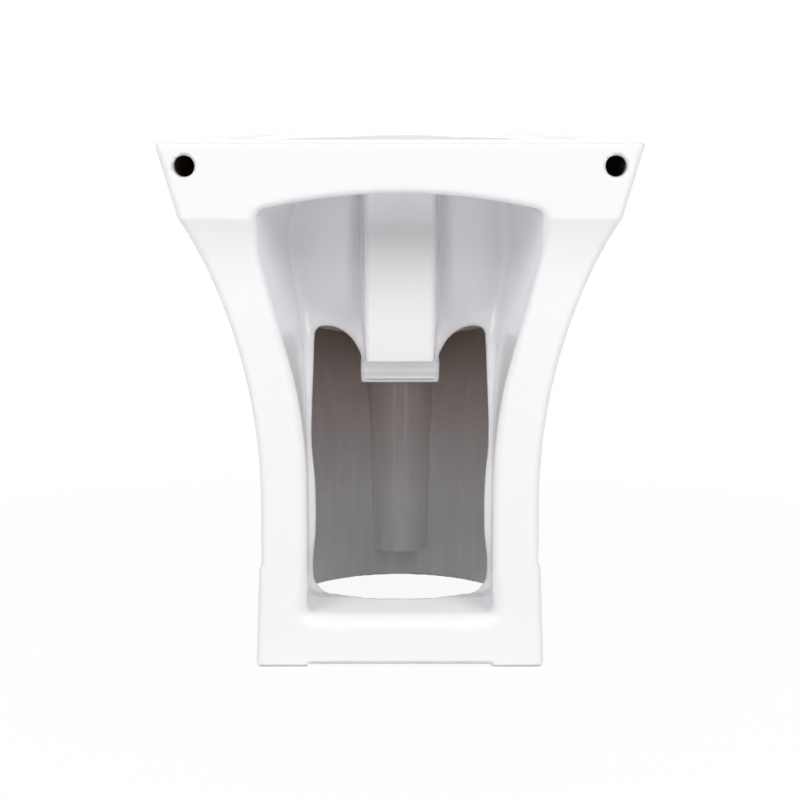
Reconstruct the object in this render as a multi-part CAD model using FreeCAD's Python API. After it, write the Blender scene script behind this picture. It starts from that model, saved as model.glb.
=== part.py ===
import FreeCAD, Part
import math
import os

# Floor-standing bidet of glazed vitreous china, in millimetres.
# +Z is up, the front looks along -Y, and the origin is on the floor below the middle of the bidet.
# Depths are measured forwards from the flat back of the rim.

# Overall size
HEIGHT = 400.0
LENGTH = 550.0
RIM_HALF_WIDTH = 181.0

# Walls of the castings
WALL = 10.0
RIM_WALL = 8.0
TOP_SKIN = 9.0
BOWL_WALL = 10.0

# Rim band
BAND_FOOT_Z = 344.0
BAND_FOOT_HALF = 164.5
BAND_FOOT_FRONT_INSET = 16.0
BACK_CORNER_RADIUS = 5.0

# Pedestal
WAIST_Z = 130.0
WAIST_HALF = 105.7
WAIST_FRONT = 331.0
WAIST_SIDE_DEPTH = 207.0
RIM_SIDE_DEPTH = 95.0
LEG_SETBACK = 12.0
COVE_START_Z = 290.0
PLINTH_TOP_Z = 76.0
PLINTH_CHAMFER = 4.0
PLINTH_STEP = 1.9
PLINTH_SPREAD = 2.7
FOOT_RELIEF = 2.3
FLARE_STEPS = 7

# Recess between the legs: heights down its sides, with its half widths at the back and at the apron
RECESS_SILL_Z = 44.0
RECESS_CROWN_RISE = 13.0
RECESS_HEIGHTS = [349.0, 320.0, 290.0, 253.0, 211.0, 172.0, 110.0]
RECESS_BACK_HALVES = [107.5, 108.3, 101.6, 90.8, 79.2, 73.2, 72.2]
RECESS_APRON_HALVES = [79.8, 84.2, 82.6, 77.7, 74.6, 72.6, 71.5]
RECESS_SILL_HALF = 74.0
APRON_DEPTH = 118.0
WINDOW_HALF = 70.0
WINDOW_TOP_Z = 251.0
WINDOW_OUTER_RADIUS = 6.0
WINDOW_INNER_RADIUS = 24.0
TIE_MIDDLE_DEPTH = 57.0
TIE_SIDE_DEPTH = 88.0

# Stiffening rib inside the front wall
RIB_FOOT_Z = 27.0
RIB_FOOT_RADIUS = 28.5
RIB_TOP_RADIUS = 35.5
RIB_AXIS_BEHIND_SKIN = 4.0

# Vent holes of the hollow rim
VENT_RADIUS = 8.0
VENT_HALF_SPACING = 159.0
VENT_BELOW_TOP = 18.0

# Bowl
BOWL_BACK = 107.0
BOWL_MIDDLE = 180.0
BOWL_FRONT_LAND = 38.0
BOWL_HALF = 141.0
BOWL_FLOOR_Z = 246.0
BOWL_BACK_FALL = 6.0
BOWL_BACK_ROUND = 0.5
BOWL_SIDE_FALL = 2.6
BOWL_SIDE_ROUND = 0.65
BOWL_FRONT_FALL = 1.25
BOWL_FRONT_ROUND = 0.9
BOWL_STEPS = 7

# Tap hole
TAP_RADIUS = 17.5
TAP_DEPTH = 45.0
TAP_PAD_RADIUS = 28.0
TAP_PAD_THICKNESS = 7.0

# Overflow
DUCT_HALF = 27.0
DUCT_FACE_DEPTH = 78.0
DUCT_FOOT_Z = 212.0
DUCT_WALL = 9.0
DUCT_RUN_HEIGHT = 32.0
DUCT_DRAFT = 12.0
DUCT_LIP = 2.5
DUCT_LIP_HEIGHT = 12.0
OVERFLOW_BELOW_TOP = 36.0
OVERFLOW_RADIUS = 11.0
OVERFLOW_SPOT_RADIUS = 15.0
OVERFLOW_SPOT_CUT = 1.5
OVERFLOW_RING_BORE = 8.5
OVERFLOW_RING_PROUD = 1.2
OVERFLOW_RING_SKIRT = 6.0

# Waste
DRAIN_DEPTH = 225.0
BOSS_RADIUS = 33.0
BOSS_FOOT_Z = 216.0
BOSS_BORE = 22.5
BOSS_CHAMBER_RADIUS = 27.5
FLANGE_RADIUS = 31.5
FLANGE_THICKNESS = 2.5
FLANGE_RECESS_DEPTH = 4.0
FLANGE_LAND = 2.5
TAIL_RADIUS = 20.95
TAIL_BORE = 17.8
TAIL_LENGTH = 46.5
TAIL_GROOVE = 1.0
TAIL_GROOVE_DEPTH = 0.6
SEAL_THICKNESS = 1.5
CONE_SEAL_THICKNESS = 3.0
CONE_SEAL_RADIUS = 29.0
NUT_HEIGHT = 8.0
NUT_ACROSS_FLATS = 54.0
NUT_CORNERS = 6
NUT_CHAMFER = 2.0
SLOT_COUNT = 3
SLOT_WIDTH = 12.0
SPIDER_ARM = 4.0
SPIDER_HEIGHT = 7.0
SPIDER_BELOW_FLANGE = 11.0
HUB_RADIUS = 8.5

# Plug and its click mechanism
CARTRIDGE_RADIUS = 5.6
CARTRIDGE_BORE = 4.0
CARTRIDGE_FLOOR = 2.0
CARTRIDGE_LENGTH = 35.0
CARTRIDGE_COLLAR = 1.6
CARTRIDGE_HEAD_RADIUS = 8.0
STEM_RADIUS = 3.93
STEM_IN_CARTRIDGE = 18.0
PLUG_RADIUS = 28.0
PLUG_EDGE = 3.0
PLUG_CROWN = 2.5
PLUG_TRAVEL = 8.0
PLUG_NECK_RADIUS = 12.0
PLUG_SEAL_RADIUS = 24.0
PLUG_SEAL_THICKNESS = 2.0
SPRING_WIRE = 0.5
SPRING_TURNS = 5
SPRING_CLEARANCE = 0.35

# Floor fixing on each side
FIX_DEPTH = 138.0
FIX_Z = 30.0
BRACKET_WIDTH = 30.0
BRACKET_THICKNESS = 4.0
BRACKET_HEIGHT = 46.0
BRACKET_FOOT = 22.0
FLOOR_HOLE_RADIUS = 4.0
FLOOR_HOLE_INSET = 13.0
SCREW_RADIUS = 3.0
SCREW_HEAD_RADIUS = 5.2
SCREW_HEAD_HEIGHT = 2.6
SCREW_PAST_NUT = 3.0
NUT_SIDE = 11.0
NUT_THICKNESS = 5.0
SLEEVE_RADIUS = 5.4
SLEEVE_FLANGE_RADIUS = 9.0
SLEEVE_FLANGE = 1.5
COUNTERBORE_DEPTH = 4.0
CAP_RADIUS = 8.6
CAP_WALL = 1.5
CAP_CROWN = 0.8

# Clearances
LOOSE_FIT = 0.3
HEAD_ROOM = 0.5
CUT_PAST = 2.0

# Pull of a curve's end that makes a quarter round, and the squarer one of the bowl's back
ROUND_PULL = 0.5523
SQUARE_PULL = 0.72
FULL_TURN = 360.0

# Worked out from the values above
BACK_Y = LENGTH / 2
FLARE_HEIGHT = BAND_FOOT_Z - WAIST_Z
BAND_FOOT_FRONT = LENGTH - BAND_FOOT_FRONT_INSET
TOP_SKIN_Z = HEIGHT - TOP_SKIN
INNER_HALF = WAIST_HALF - WALL
INNER_BACK = LEG_SETBACK + WALL
INNER_FRONT = WAIST_FRONT - WALL
RECESS_SPRING_Z = RECESS_HEIGHTS[0]
OVERFLOW_Z = HEIGHT - OVERFLOW_BELOW_TOP
OVERFLOW_SPOT_DEPTH = BOWL_BACK + OVERFLOW_SPOT_CUT
CHANNEL_HALF = DUCT_HALF - DUCT_WALL
CHANNEL_DEPTH = DUCT_FACE_DEPTH + DUCT_WALL
CHANNEL_LOW_Z = DUCT_FOOT_Z + DUCT_WALL
CHANNEL_HIGH_Z = DUCT_FOOT_Z + DUCT_RUN_HEIGHT - DUCT_WALL
FLANGE_SEAT_Z = BOWL_FLOOR_Z - FLANGE_RECESS_DEPTH
FLANGE_Z = FLANGE_SEAT_Z + SEAL_THICKNESS
FLANGE_TOP_Z = FLANGE_Z + FLANGE_THICKNESS
TAIL_END_Z = FLANGE_Z - TAIL_LENGTH
NUT_TOP_Z = BOSS_FOOT_Z - CONE_SEAL_THICKNESS
NUT_FOOT_Z = NUT_TOP_Z - NUT_HEIGHT
HUB_TOP_Z = FLANGE_Z - SPIDER_BELOW_FLANGE
CARTRIDGE_TOP_Z = HUB_TOP_Z + CARTRIDGE_COLLAR
CARTRIDGE_FOOT_Z = CARTRIDGE_TOP_Z - CARTRIDGE_LENGTH
STEM_FOOT_Z = CARTRIDGE_TOP_Z - STEM_IN_CARTRIDGE
PLUG_SEAL_Z = FLANGE_TOP_Z + PLUG_TRAVEL
PLUG_Z = PLUG_SEAL_Z + PLUG_SEAL_THICKNESS


def at(x, depth, z):
    """Point at a distance to the side, a depth in front of the back and a height."""
    return FreeCAD.Vector(x, BACK_Y - depth, z)


def line(start, end):
    return Part.LineSegment(start, end).toShape()


def arc(start, middle, end):
    return Part.Arc(start, middle, end).toShape()


def bezier(*poles):
    curve = Part.BezierCurve()
    curve.setPoles(list(poles))
    return curve.toShape()


def box(half, depth_from, depth_to, z_from, z_to):
    """Block centred on the middle plane."""
    corner = at(-half, depth_to, z_from)
    return Part.makeBox(2 * half, depth_to - depth_from, z_to - z_from, corner)


def upright(x, depth, z_from, z_to, radius):
    return Part.makeCylinder(radius, z_to - z_from, at(x, depth, z_from))


def lying(x, depth_from, depth_to, z, radius):
    """Cylinder that runs forwards."""
    forwards = FreeCAD.Vector(0, -1, 0)
    return Part.makeCylinder(radius, depth_to - depth_from, at(x, depth_from, z), forwards)


def sideways(x_from, x_to, depth, z, radius):
    """Cylinder that runs outwards to +X."""
    return Part.makeCylinder(radius, x_to - x_from, at(x_from, depth, z), FreeCAD.Vector(1, 0, 0))


def corner_turn(radius):
    """Distance from each side of a square corner to the middle of its rounding."""
    return radius * (1 - math.sqrt(0.5))


def arc_radius(rise, reach):
    """Radius of an arc that leaves along the rise and ends one reach to the side."""
    return (rise * rise + reach * reach) / (2 * reach)


def hollow_arc(start, reach, rise, height, inset):
    """Place of a hollow flare at a height, moved inwards by a wall."""
    radius = arc_radius(rise, reach)
    under_root = max((radius + inset) ** 2 - height ** 2, 0.0)
    return start + radius - math.sqrt(under_root)


def plan(z, half, back, side, front, corner):
    """Level outline of the skin: flat back, straight sides and a rounded nose."""
    nose = front - side
    turn = corner_turn(corner)
    right_pull = at(half, side + ROUND_PULL * nose, z)
    left_pull = at(-half, side + ROUND_PULL * nose, z)
    tip = ROUND_PULL * half
    edges = [
        line(at(corner - half, back, z), at(half - corner, back, z)),
        arc(at(half - corner, back, z), at(half - turn, back + turn, z), at(half, back + corner, z)),
        line(at(half, back + corner, z), at(half, side, z)),
        bezier(at(half, side, z), right_pull, at(tip, front, z), at(0, front, z)),
        bezier(at(0, front, z), at(-tip, front, z), left_pull, at(-half, side, z)),
        line(at(-half, side, z), at(-half, back + corner, z)),
        arc(at(-half, back + corner, z), at(turn - half, back + turn, z), at(corner - half, back, z)),
    ]
    return Part.Wire(edges)


def flare_level(z, inset):
    """Outline of the pedestal's hollow flare at a height."""
    height = z - WAIST_Z
    half = hollow_arc(WAIST_HALF, BAND_FOOT_HALF - WAIST_HALF, FLARE_HEIGHT, height, inset)
    front = hollow_arc(WAIST_FRONT, BAND_FOOT_FRONT - WAIST_FRONT, FLARE_HEIGHT, height, inset)
    cove_rise = BAND_FOOT_Z - COVE_START_Z
    cove_height = max(z - COVE_START_Z, 0.0)
    cove_out = hollow_arc(0.0, LEG_SETBACK, cove_rise, cove_height, inset)
    back = max(LEG_SETBACK - cove_out, inset)
    share = (front - WAIST_FRONT) / (BAND_FOOT_FRONT - WAIST_FRONT)
    side = WAIST_SIDE_DEPTH + share * (RIM_SIDE_DEPTH - WAIST_SIDE_DEPTH)
    return plan(z, half, back, side, front, BACK_CORNER_RADIUS)


def flare(top_z, inset):
    step = (top_z - WAIST_Z) / FLARE_STEPS
    levels = [flare_level(WAIST_Z + step * i, inset) for i in range(FLARE_STEPS + 1)]
    return Part.makeLoft(levels, True, False)


def rim_level(z, inset):
    """Outline of the rim at a height, between the foot of the band and the top."""
    share = (z - BAND_FOOT_Z) / (HEIGHT - BAND_FOOT_Z)
    half = BAND_FOOT_HALF + share * (RIM_HALF_WIDTH - BAND_FOOT_HALF) - inset
    front = BAND_FOOT_FRONT + share * (LENGTH - BAND_FOOT_FRONT) - inset
    return plan(z, half, inset, RIM_SIDE_DEPTH, front, BACK_CORNER_RADIUS)


def rim_block(z_from, z_to, inset):
    return Part.makeLoft([rim_level(z_from, inset), rim_level(z_to, inset)], True, True)


def waist_level(z, spread):
    half = WAIST_HALF + spread
    return plan(z, half, LEG_SETBACK, WAIST_SIDE_DEPTH, WAIST_FRONT + spread, BACK_CORNER_RADIUS)


def skin_outside():
    """Whole outer form below the rim top, filled."""
    plinth_low = waist_level(0.0, PLINTH_STEP + PLINTH_SPREAD)
    plinth_high = waist_level(PLINTH_TOP_Z, PLINTH_STEP)
    plinth_shoulder = waist_level(PLINTH_TOP_Z + PLINTH_CHAMFER, 0.0)
    plinth = Part.makeLoft([plinth_low, plinth_high], True, True)
    shoulder = Part.makeLoft([plinth_high, plinth_shoulder], True, True)
    waist = Part.makeLoft([plinth_shoulder, waist_level(WAIST_Z, 0.0)], True, True)
    upper = flare(BAND_FOOT_Z, 0.0)
    band = rim_block(BAND_FOOT_Z, TOP_SKIN_Z, 0.0)
    return plinth.fuse([shoulder, waist, upper, band])


def skin_inside():
    """Hollow inside the skin, open at the floor and closed by the rim top."""
    waist = plan(-CUT_PAST, INNER_HALF, INNER_BACK, WAIST_SIDE_DEPTH, INNER_FRONT, BACK_CORNER_RADIUS)
    lower = Part.Face(waist).extrude(FreeCAD.Vector(0, 0, WAIST_Z + CUT_PAST))
    upper = flare(BAND_FOOT_Z, WALL)
    band = rim_block(BAND_FOOT_Z + WALL, TOP_SKIN_Z, RIM_WALL)
    neck_low = flare_level(BAND_FOOT_Z, WALL)
    neck_high = rim_level(BAND_FOOT_Z + WALL, RIM_WALL)
    neck = Part.makeLoft([neck_low, neck_high], True, True)
    return lower.fuse([upper, neck, band])


def recess_outline(depth, halves, sill_half, grow):
    """Upright outline of the recess: arched top, curved sides and a level sill."""
    heights = RECESS_HEIGHTS + [RECESS_SILL_Z - grow]
    rows = list(zip(heights, halves + [sill_half]))
    right = [at(half + grow, depth, z) for z, half in rows]
    left = [at(-half - grow, depth, z) for z, half in reversed(rows)]
    crown = at(0, depth, RECESS_SPRING_Z + RECESS_CROWN_RISE + grow)
    side_right = Part.BSplineCurve()
    side_right.interpolate(right)
    side_left = Part.BSplineCurve()
    side_left.interpolate(left)
    edges = [
        side_right.toShape(),
        line(right[-1], left[0]),
        side_left.toShape(),
        arc(left[-1], crown, right[0]),
    ]
    return Part.Wire(edges)


def recess(grow, depth_to):
    """Space between the legs, from behind the bidet to the apron."""
    back = recess_outline(0.0, RECESS_BACK_HALVES, RECESS_SILL_HALF, grow)
    apron = recess_outline(depth_to, RECESS_APRON_HALVES, WINDOW_HALF, grow)
    funnel = Part.makeLoft([back, apron], True, True)
    mouth = Part.Face(back).extrude(FreeCAD.Vector(0, CUT_PAST, 0))
    chamber_half = RECESS_APRON_HALVES[0] + grow
    chamber = box(chamber_half, RIM_WALL, depth_to, RECESS_SPRING_Z - WALL, TOP_SKIN_Z)
    return funnel.fuse([mouth, chamber])


def window():
    """Opening through the apron on the right of the duct."""
    inner = DUCT_HALF + LOOSE_FIT
    inner_turn = corner_turn(WINDOW_INNER_RADIUS)
    outer_turn = corner_turn(WINDOW_OUTER_RADIUS)
    depth = APRON_DEPTH - CUT_PAST
    foot = RECESS_SILL_Z
    shoulder_in = WINDOW_TOP_Z - WINDOW_INNER_RADIUS
    shoulder_out = WINDOW_TOP_Z - WINDOW_OUTER_RADIUS
    edges = [
        line(at(0, depth, foot), at(WINDOW_HALF, depth, foot)),
        line(at(WINDOW_HALF, depth, foot), at(WINDOW_HALF, depth, shoulder_out)),
        arc(at(WINDOW_HALF, depth, shoulder_out),
            at(WINDOW_HALF - outer_turn, depth, WINDOW_TOP_Z - outer_turn),
            at(WINDOW_HALF - WINDOW_OUTER_RADIUS, depth, WINDOW_TOP_Z)),
        line(at(WINDOW_HALF - WINDOW_OUTER_RADIUS, depth, WINDOW_TOP_Z),
             at(inner + WINDOW_INNER_RADIUS, depth, WINDOW_TOP_Z)),
        arc(at(inner + WINDOW_INNER_RADIUS, depth, WINDOW_TOP_Z),
            at(inner + inner_turn, depth, WINDOW_TOP_Z - inner_turn),
            at(inner, depth, shoulder_in)),
        line(at(inner, depth, shoulder_in), at(0, depth, shoulder_in)),
        line(at(0, depth, shoulder_in), at(0, depth, foot)),
    ]
    reach = WALL + 2 * CUT_PAST
    return Part.Face(Part.Wire(edges)).extrude(FreeCAD.Vector(0, -reach, 0))


def mirrored(shape):
    """The same shape on the left."""
    return shape.mirror(FreeCAD.Vector(0, 0, 0), FreeCAD.Vector(1, 0, 0))


def bowl_level(z, grow):
    """Egg-shaped outline of the basin at a height; grow adds its wall."""
    floor_z = BOWL_FLOOR_Z - grow
    fall = (HEIGHT - z) / (HEIGHT - floor_z)
    drain = FLANGE_RADIUS + LOOSE_FIT + FLANGE_LAND + grow
    back_share = (1 - fall ** BOWL_BACK_FALL) ** BOWL_BACK_ROUND
    front_share = (1 - fall ** BOWL_FRONT_FALL) ** BOWL_FRONT_ROUND
    half_share = (1 - fall ** BOWL_SIDE_FALL) ** BOWL_SIDE_ROUND
    rim_back = BOWL_BACK - grow
    rim_front = LENGTH - BOWL_FRONT_LAND + grow
    back = DRAIN_DEPTH - drain + back_share * (rim_back - DRAIN_DEPTH + drain)
    front = DRAIN_DEPTH + drain + front_share * (rim_front - DRAIN_DEPTH - drain)
    half = drain + half_share * (BOWL_HALF + grow - drain)
    middle = DRAIN_DEPTH + back_share * (BOWL_MIDDLE - DRAIN_DEPTH)
    side_back = middle + SQUARE_PULL * (back - middle)
    side_front = middle + ROUND_PULL * (front - middle)
    back_pull = SQUARE_PULL * half
    front_pull = ROUND_PULL * half
    edges = [
        bezier(at(0, back, z), at(back_pull, back, z), at(half, side_back, z), at(half, middle, z)),
        bezier(at(half, middle, z), at(half, side_front, z), at(front_pull, front, z), at(0, front, z)),
        bezier(at(0, front, z), at(-front_pull, front, z), at(-half, side_front, z), at(-half, middle, z)),
        bezier(at(-half, middle, z), at(-half, side_back, z), at(-back_pull, back, z), at(0, back, z)),
    ]
    return Part.Wire(edges)


def basin(grow, top_z):
    """Filled basin; its levels crowd towards the floor, where it curves most."""
    floor_z = BOWL_FLOOR_Z - grow
    levels = []
    for i in range(BOWL_STEPS + 1):
        angle = math.pi / 2 * i / BOWL_STEPS
        levels.append(bowl_level(floor_z + (top_z - floor_z) * (1 - math.cos(angle)), grow))
    return Part.makeLoft(levels, True, False)


def outlet_boss(foot_z):
    return upright(0, DRAIN_DEPTH, foot_z, BOWL_FLOOR_Z, BOSS_RADIUS)


def duct_draft():
    """Upper stretch of the duct, whose sides spread towards the bowl."""
    base = APRON_DEPTH + WALL
    base_half = DUCT_HALF + DUCT_DRAFT
    z = WINDOW_TOP_Z
    corners = [at(-DUCT_HALF, DUCT_FACE_DEPTH, z), at(DUCT_HALF, DUCT_FACE_DEPTH, z),
               at(base_half, base, z), at(-base_half, base, z)]
    outline = Part.makePolygon(corners + [corners[0]])
    return Part.Face(outline).extrude(FreeCAD.Vector(0, 0, TOP_SKIN_Z - z))


def duct_filled():
    """Duct down the back of the bowl and forwards to the outlet, filled, with a lip round its foot."""
    down = box(DUCT_HALF, DUCT_FACE_DEPTH, APRON_DEPTH + WALL, DUCT_FOOT_Z, TOP_SKIN_Z)
    run = box(DUCT_HALF, DUCT_FACE_DEPTH, DRAIN_DEPTH, DUCT_FOOT_Z, DUCT_FOOT_Z + DUCT_RUN_HEIGHT)
    lip = box(DUCT_HALF + DUCT_LIP, DUCT_FACE_DEPTH - DUCT_LIP, APRON_DEPTH, DUCT_FOOT_Z,
              DUCT_FOOT_Z + DUCT_LIP_HEIGHT)
    return down.fuse([run, lip, duct_draft()])


def channel_run(depth_from):
    """Level stretch of the overflow channel, up to the drain axis."""
    return box(CHANNEL_HALF, depth_from, DRAIN_DEPTH, CHANNEL_LOW_Z, CHANNEL_HIGH_Z)


def duct_channel():
    top_z = OVERFLOW_Z + OVERFLOW_RADIUS + CUT_PAST
    down = box(CHANNEL_HALF, CHANNEL_DEPTH, APRON_DEPTH + WALL, CHANNEL_LOW_Z, top_z)
    return down.fuse(channel_run(CHANNEL_DEPTH))


def one_solid(shape):
    """The single solid of a shape, with its faces joined where they run on."""
    solids = shape.removeSplitter().Solids
    return max(solids, key=lambda solid: solid.Volume)


def floor_opening():
    """Opening to the floor in front of the tie bar, hollow-edged towards the back."""
    z = -CUT_PAST
    half = WINDOW_HALF
    front = APRON_DEPTH + WALL + CUT_PAST
    edges = [
        arc(at(-half, TIE_SIDE_DEPTH, z), at(0, TIE_MIDDLE_DEPTH, z), at(half, TIE_SIDE_DEPTH, z)),
        line(at(half, TIE_SIDE_DEPTH, z), at(half, front, z)),
        line(at(half, front, z), at(-half, front, z)),
        line(at(-half, front, z), at(-half, TIE_SIDE_DEPTH, z)),
    ]
    return Part.Face(Part.Wire(edges)).extrude(FreeCAD.Vector(0, 0, RECESS_SILL_Z + 2 * CUT_PAST))


def rib():
    height = BOWL_FLOOR_Z - BOWL_WALL - RIB_FOOT_Z
    axis = WAIST_FRONT - RIB_AXIS_BEHIND_SKIN
    return Part.makeCone(RIB_FOOT_RADIUS, RIB_TOP_RADIUS, height, at(0, axis, RIB_FOOT_Z))


def outer_wall_x():
    """Half width of the plinth at the height of the side screws."""
    return WAIST_HALF + PLINTH_STEP + PLINTH_SPREAD * (1 - FIX_Z / PLINTH_TOP_Z)


def counterbore_x():
    return outer_wall_x() - COUNTERBORE_DEPTH


def side_hole():
    through = sideways(INNER_HALF - CUT_PAST, outer_wall_x(), FIX_DEPTH, FIX_Z, SLEEVE_RADIUS + LOOSE_FIT)
    seat_radius = SLEEVE_FLANGE_RADIUS + LOOSE_FIT
    seat = sideways(counterbore_x(), outer_wall_x() + CUT_PAST, FIX_DEPTH, FIX_Z, seat_radius)
    return through.fuse(seat)


def vent_hole():
    return lying(VENT_HALF_SPACING, -CUT_PAST, RIM_WALL + CUT_PAST, HEIGHT - VENT_BELOW_TOP, VENT_RADIUS)


def pedestal_casting():
    outside = skin_outside()
    lining = recess(WALL, APRON_DEPTH + WALL).common(outside)
    body = outside.cut(skin_inside())
    body = body.fuse([lining, rib().common(outside)])
    body = body.cut(recess(0.0, APRON_DEPTH))
    relief = box(WINDOW_HALF, LEG_SETBACK - CUT_PAST, INNER_BACK + CUT_PAST, -CUT_PAST, FOOT_RELIEF)
    holes = [window(), side_hole(), vent_hole()]
    cuts = holes + [mirrored(hole) for hole in holes] + [relief, floor_opening()]
    body = body.cut(cuts)
    body = body.cut([basin(BOWL_WALL, TOP_SKIN_Z), duct_filled(), outlet_boss(BOSS_FOOT_Z)])
    return one_solid(body)


def rim_deck():
    """Flat rim top with the basin's mouth and, at the back, the tap hole in a thickened pad."""
    pad_foot = TOP_SKIN_Z - TAP_PAD_THICKNESS
    pad = upright(0, TAP_DEPTH, pad_foot, TOP_SKIN_Z, TAP_PAD_RADIUS)
    tap_hole = upright(0, TAP_DEPTH, pad_foot - CUT_PAST, HEIGHT + CUT_PAST, TAP_RADIUS)
    body = rim_block(TOP_SKIN_Z, HEIGHT, 0.0).fuse(pad)
    return one_solid(body.cut([basin(0.0, HEIGHT), tap_hole]))


def bowl_casting():
    """Basin below the rim top, with the outlet boss and the overflow hole."""
    body = basin(BOWL_WALL, TOP_SKIN_Z).fuse(outlet_boss(BOSS_FOOT_Z))
    spot = OVERFLOW_SPOT_DEPTH
    cuts = [
        basin(0.0, HEIGHT),
        upright(0, DRAIN_DEPTH, FLANGE_SEAT_Z, BOWL_FLOOR_Z + CUT_PAST, FLANGE_RADIUS + LOOSE_FIT),
        upright(0, DRAIN_DEPTH, BOSS_FOOT_Z - CUT_PAST, FLANGE_SEAT_Z, BOSS_BORE),
        upright(0, DRAIN_DEPTH, CHANNEL_LOW_Z, CHANNEL_HIGH_Z, BOSS_CHAMBER_RADIUS),
        channel_run(DRAIN_DEPTH - BOSS_RADIUS - CUT_PAST),
        lying(0, CHANNEL_DEPTH, spot, OVERFLOW_Z, OVERFLOW_RADIUS),
        lying(0, spot, spot + BOWL_WALL, OVERFLOW_Z, OVERFLOW_SPOT_RADIUS),
    ]
    return one_solid(body.cut(cuts))


def overflow_duct():
    body = duct_filled().cut(basin(BOWL_WALL, TOP_SKIN_Z))
    body = body.cut([outlet_boss(DUCT_FOOT_Z - CUT_PAST), duct_channel()])
    return one_solid(body)


def turned(profile):
    """Solid of revolution about the drain axis from (radius, height) points."""
    points = [at(radius, DRAIN_DEPTH, z) for radius, z in profile]
    face = Part.Face(Part.makePolygon(points + [points[0]]))
    return face.revolve(at(0, DRAIN_DEPTH, 0), FreeCAD.Vector(0, 0, 1), FULL_TURN)


def ring(inner, outer, z_from, z_to):
    return turned([(inner, z_from), (outer, z_from), (outer, z_to), (inner, z_to)])


def overflow_ring():
    spot = OVERFLOW_SPOT_DEPTH
    flange_radius = OVERFLOW_SPOT_RADIUS - LOOSE_FIT
    flange = lying(0, spot, spot + OVERFLOW_RING_PROUD, OVERFLOW_Z, flange_radius)
    skirt = lying(0, spot - OVERFLOW_RING_SKIRT, spot, OVERFLOW_Z, OVERFLOW_RADIUS - LOOSE_FIT)
    bore = lying(0, spot - BOWL_WALL, spot + BOWL_WALL, OVERFLOW_Z, OVERFLOW_RING_BORE)
    return one_solid(flange.fuse(skirt).cut(bore))


def waste_body():
    """Flanged waste tube with overflow slots and a spider that holds the cartridge."""
    seat = FLANGE_TOP_Z - FLANGE_THICKNESS / 2
    groove_low = NUT_FOOT_Z - TAIL_GROOVE
    groove_radius = TAIL_RADIUS - TAIL_GROOVE_DEPTH
    tube = turned([(TAIL_BORE, TAIL_END_Z), (TAIL_RADIUS, TAIL_END_Z), (TAIL_RADIUS, groove_low),
                   (groove_radius, groove_low), (groove_radius, NUT_FOOT_Z), (TAIL_RADIUS, NUT_FOOT_Z),
                   (TAIL_RADIUS, FLANGE_Z), (FLANGE_RADIUS, FLANGE_Z), (FLANGE_RADIUS, seat),
                   (FLANGE_RADIUS - FLANGE_THICKNESS, FLANGE_TOP_Z), (TAIL_BORE, FLANGE_TOP_Z)])
    slots = [Part.makeBox(2 * TAIL_RADIUS, SLOT_WIDTH, CHANNEL_HIGH_Z - CHANNEL_LOW_Z,
                          at(0, DRAIN_DEPTH + SLOT_WIDTH / 2, CHANNEL_LOW_Z)) for _ in range(SLOT_COUNT)]
    for i, slot in enumerate(slots):
        turn = FULL_TURN / 4 + FULL_TURN / SLOT_COUNT * i
        slot.rotate(at(0, DRAIN_DEPTH, 0), FreeCAD.Vector(0, 0, 1), turn)
    foot = HUB_TOP_Z - SPIDER_HEIGHT
    reach = TAIL_BORE + (TAIL_RADIUS - TAIL_BORE) / 2
    half_arm = SPIDER_ARM / 2
    arm = Part.makeBox(2 * reach, SPIDER_ARM, SPIDER_HEIGHT, at(-reach, DRAIN_DEPTH + half_arm, foot))
    cross = Part.makeBox(SPIDER_ARM, 2 * reach, SPIDER_HEIGHT, at(-half_arm, DRAIN_DEPTH + reach, foot))
    hub = upright(0, DRAIN_DEPTH, foot, HUB_TOP_Z, HUB_RADIUS)
    bore = upright(0, DRAIN_DEPTH, foot - CUT_PAST, HUB_TOP_Z + CUT_PAST, CARTRIDGE_RADIUS + LOOSE_FIT)
    return one_solid(tube.cut(slots).fuse([arm, cross, hub]).cut(bore))


def flange_seal():
    return ring(BOSS_BORE, FLANGE_RADIUS - SEAL_THICKNESS, FLANGE_SEAT_Z, FLANGE_Z)


def cone_seal():
    inner = TAIL_RADIUS + LOOSE_FIT
    chamfer = CONE_SEAL_THICKNESS / 2
    return turned([(inner, NUT_TOP_Z), (CONE_SEAL_RADIUS - chamfer, NUT_TOP_Z),
                   (CONE_SEAL_RADIUS, NUT_TOP_Z + chamfer), (CONE_SEAL_RADIUS, BOSS_FOOT_Z),
                   (inner, BOSS_FOOT_Z)])


def backnut():
    """Hexagon nut with its flats to the sides and its lower corners rounded off."""
    radius = NUT_ACROSS_FLATS / 2 / math.cos(math.pi / NUT_CORNERS)
    step = math.radians(FULL_TURN / NUT_CORNERS)
    turns = [step * (i + 0.5) for i in range(NUT_CORNERS + 1)]
    corners = [at(radius * math.cos(turn), DRAIN_DEPTH + radius * math.sin(turn), NUT_FOOT_Z)
               for turn in turns]
    hexagon = Part.Face(Part.makePolygon(corners)).extrude(FreeCAD.Vector(0, 0, NUT_HEIGHT))
    rounding = turned([(0, NUT_FOOT_Z), (radius - NUT_CHAMFER, NUT_FOOT_Z),
                       (radius, NUT_FOOT_Z + NUT_CHAMFER), (radius, NUT_TOP_Z), (0, NUT_TOP_Z)])
    bore = upright(0, DRAIN_DEPTH, NUT_FOOT_Z - CUT_PAST, NUT_TOP_Z + CUT_PAST, TAIL_RADIUS + LOOSE_FIT)
    return one_solid(hexagon.common(rounding).cut(bore))


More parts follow.
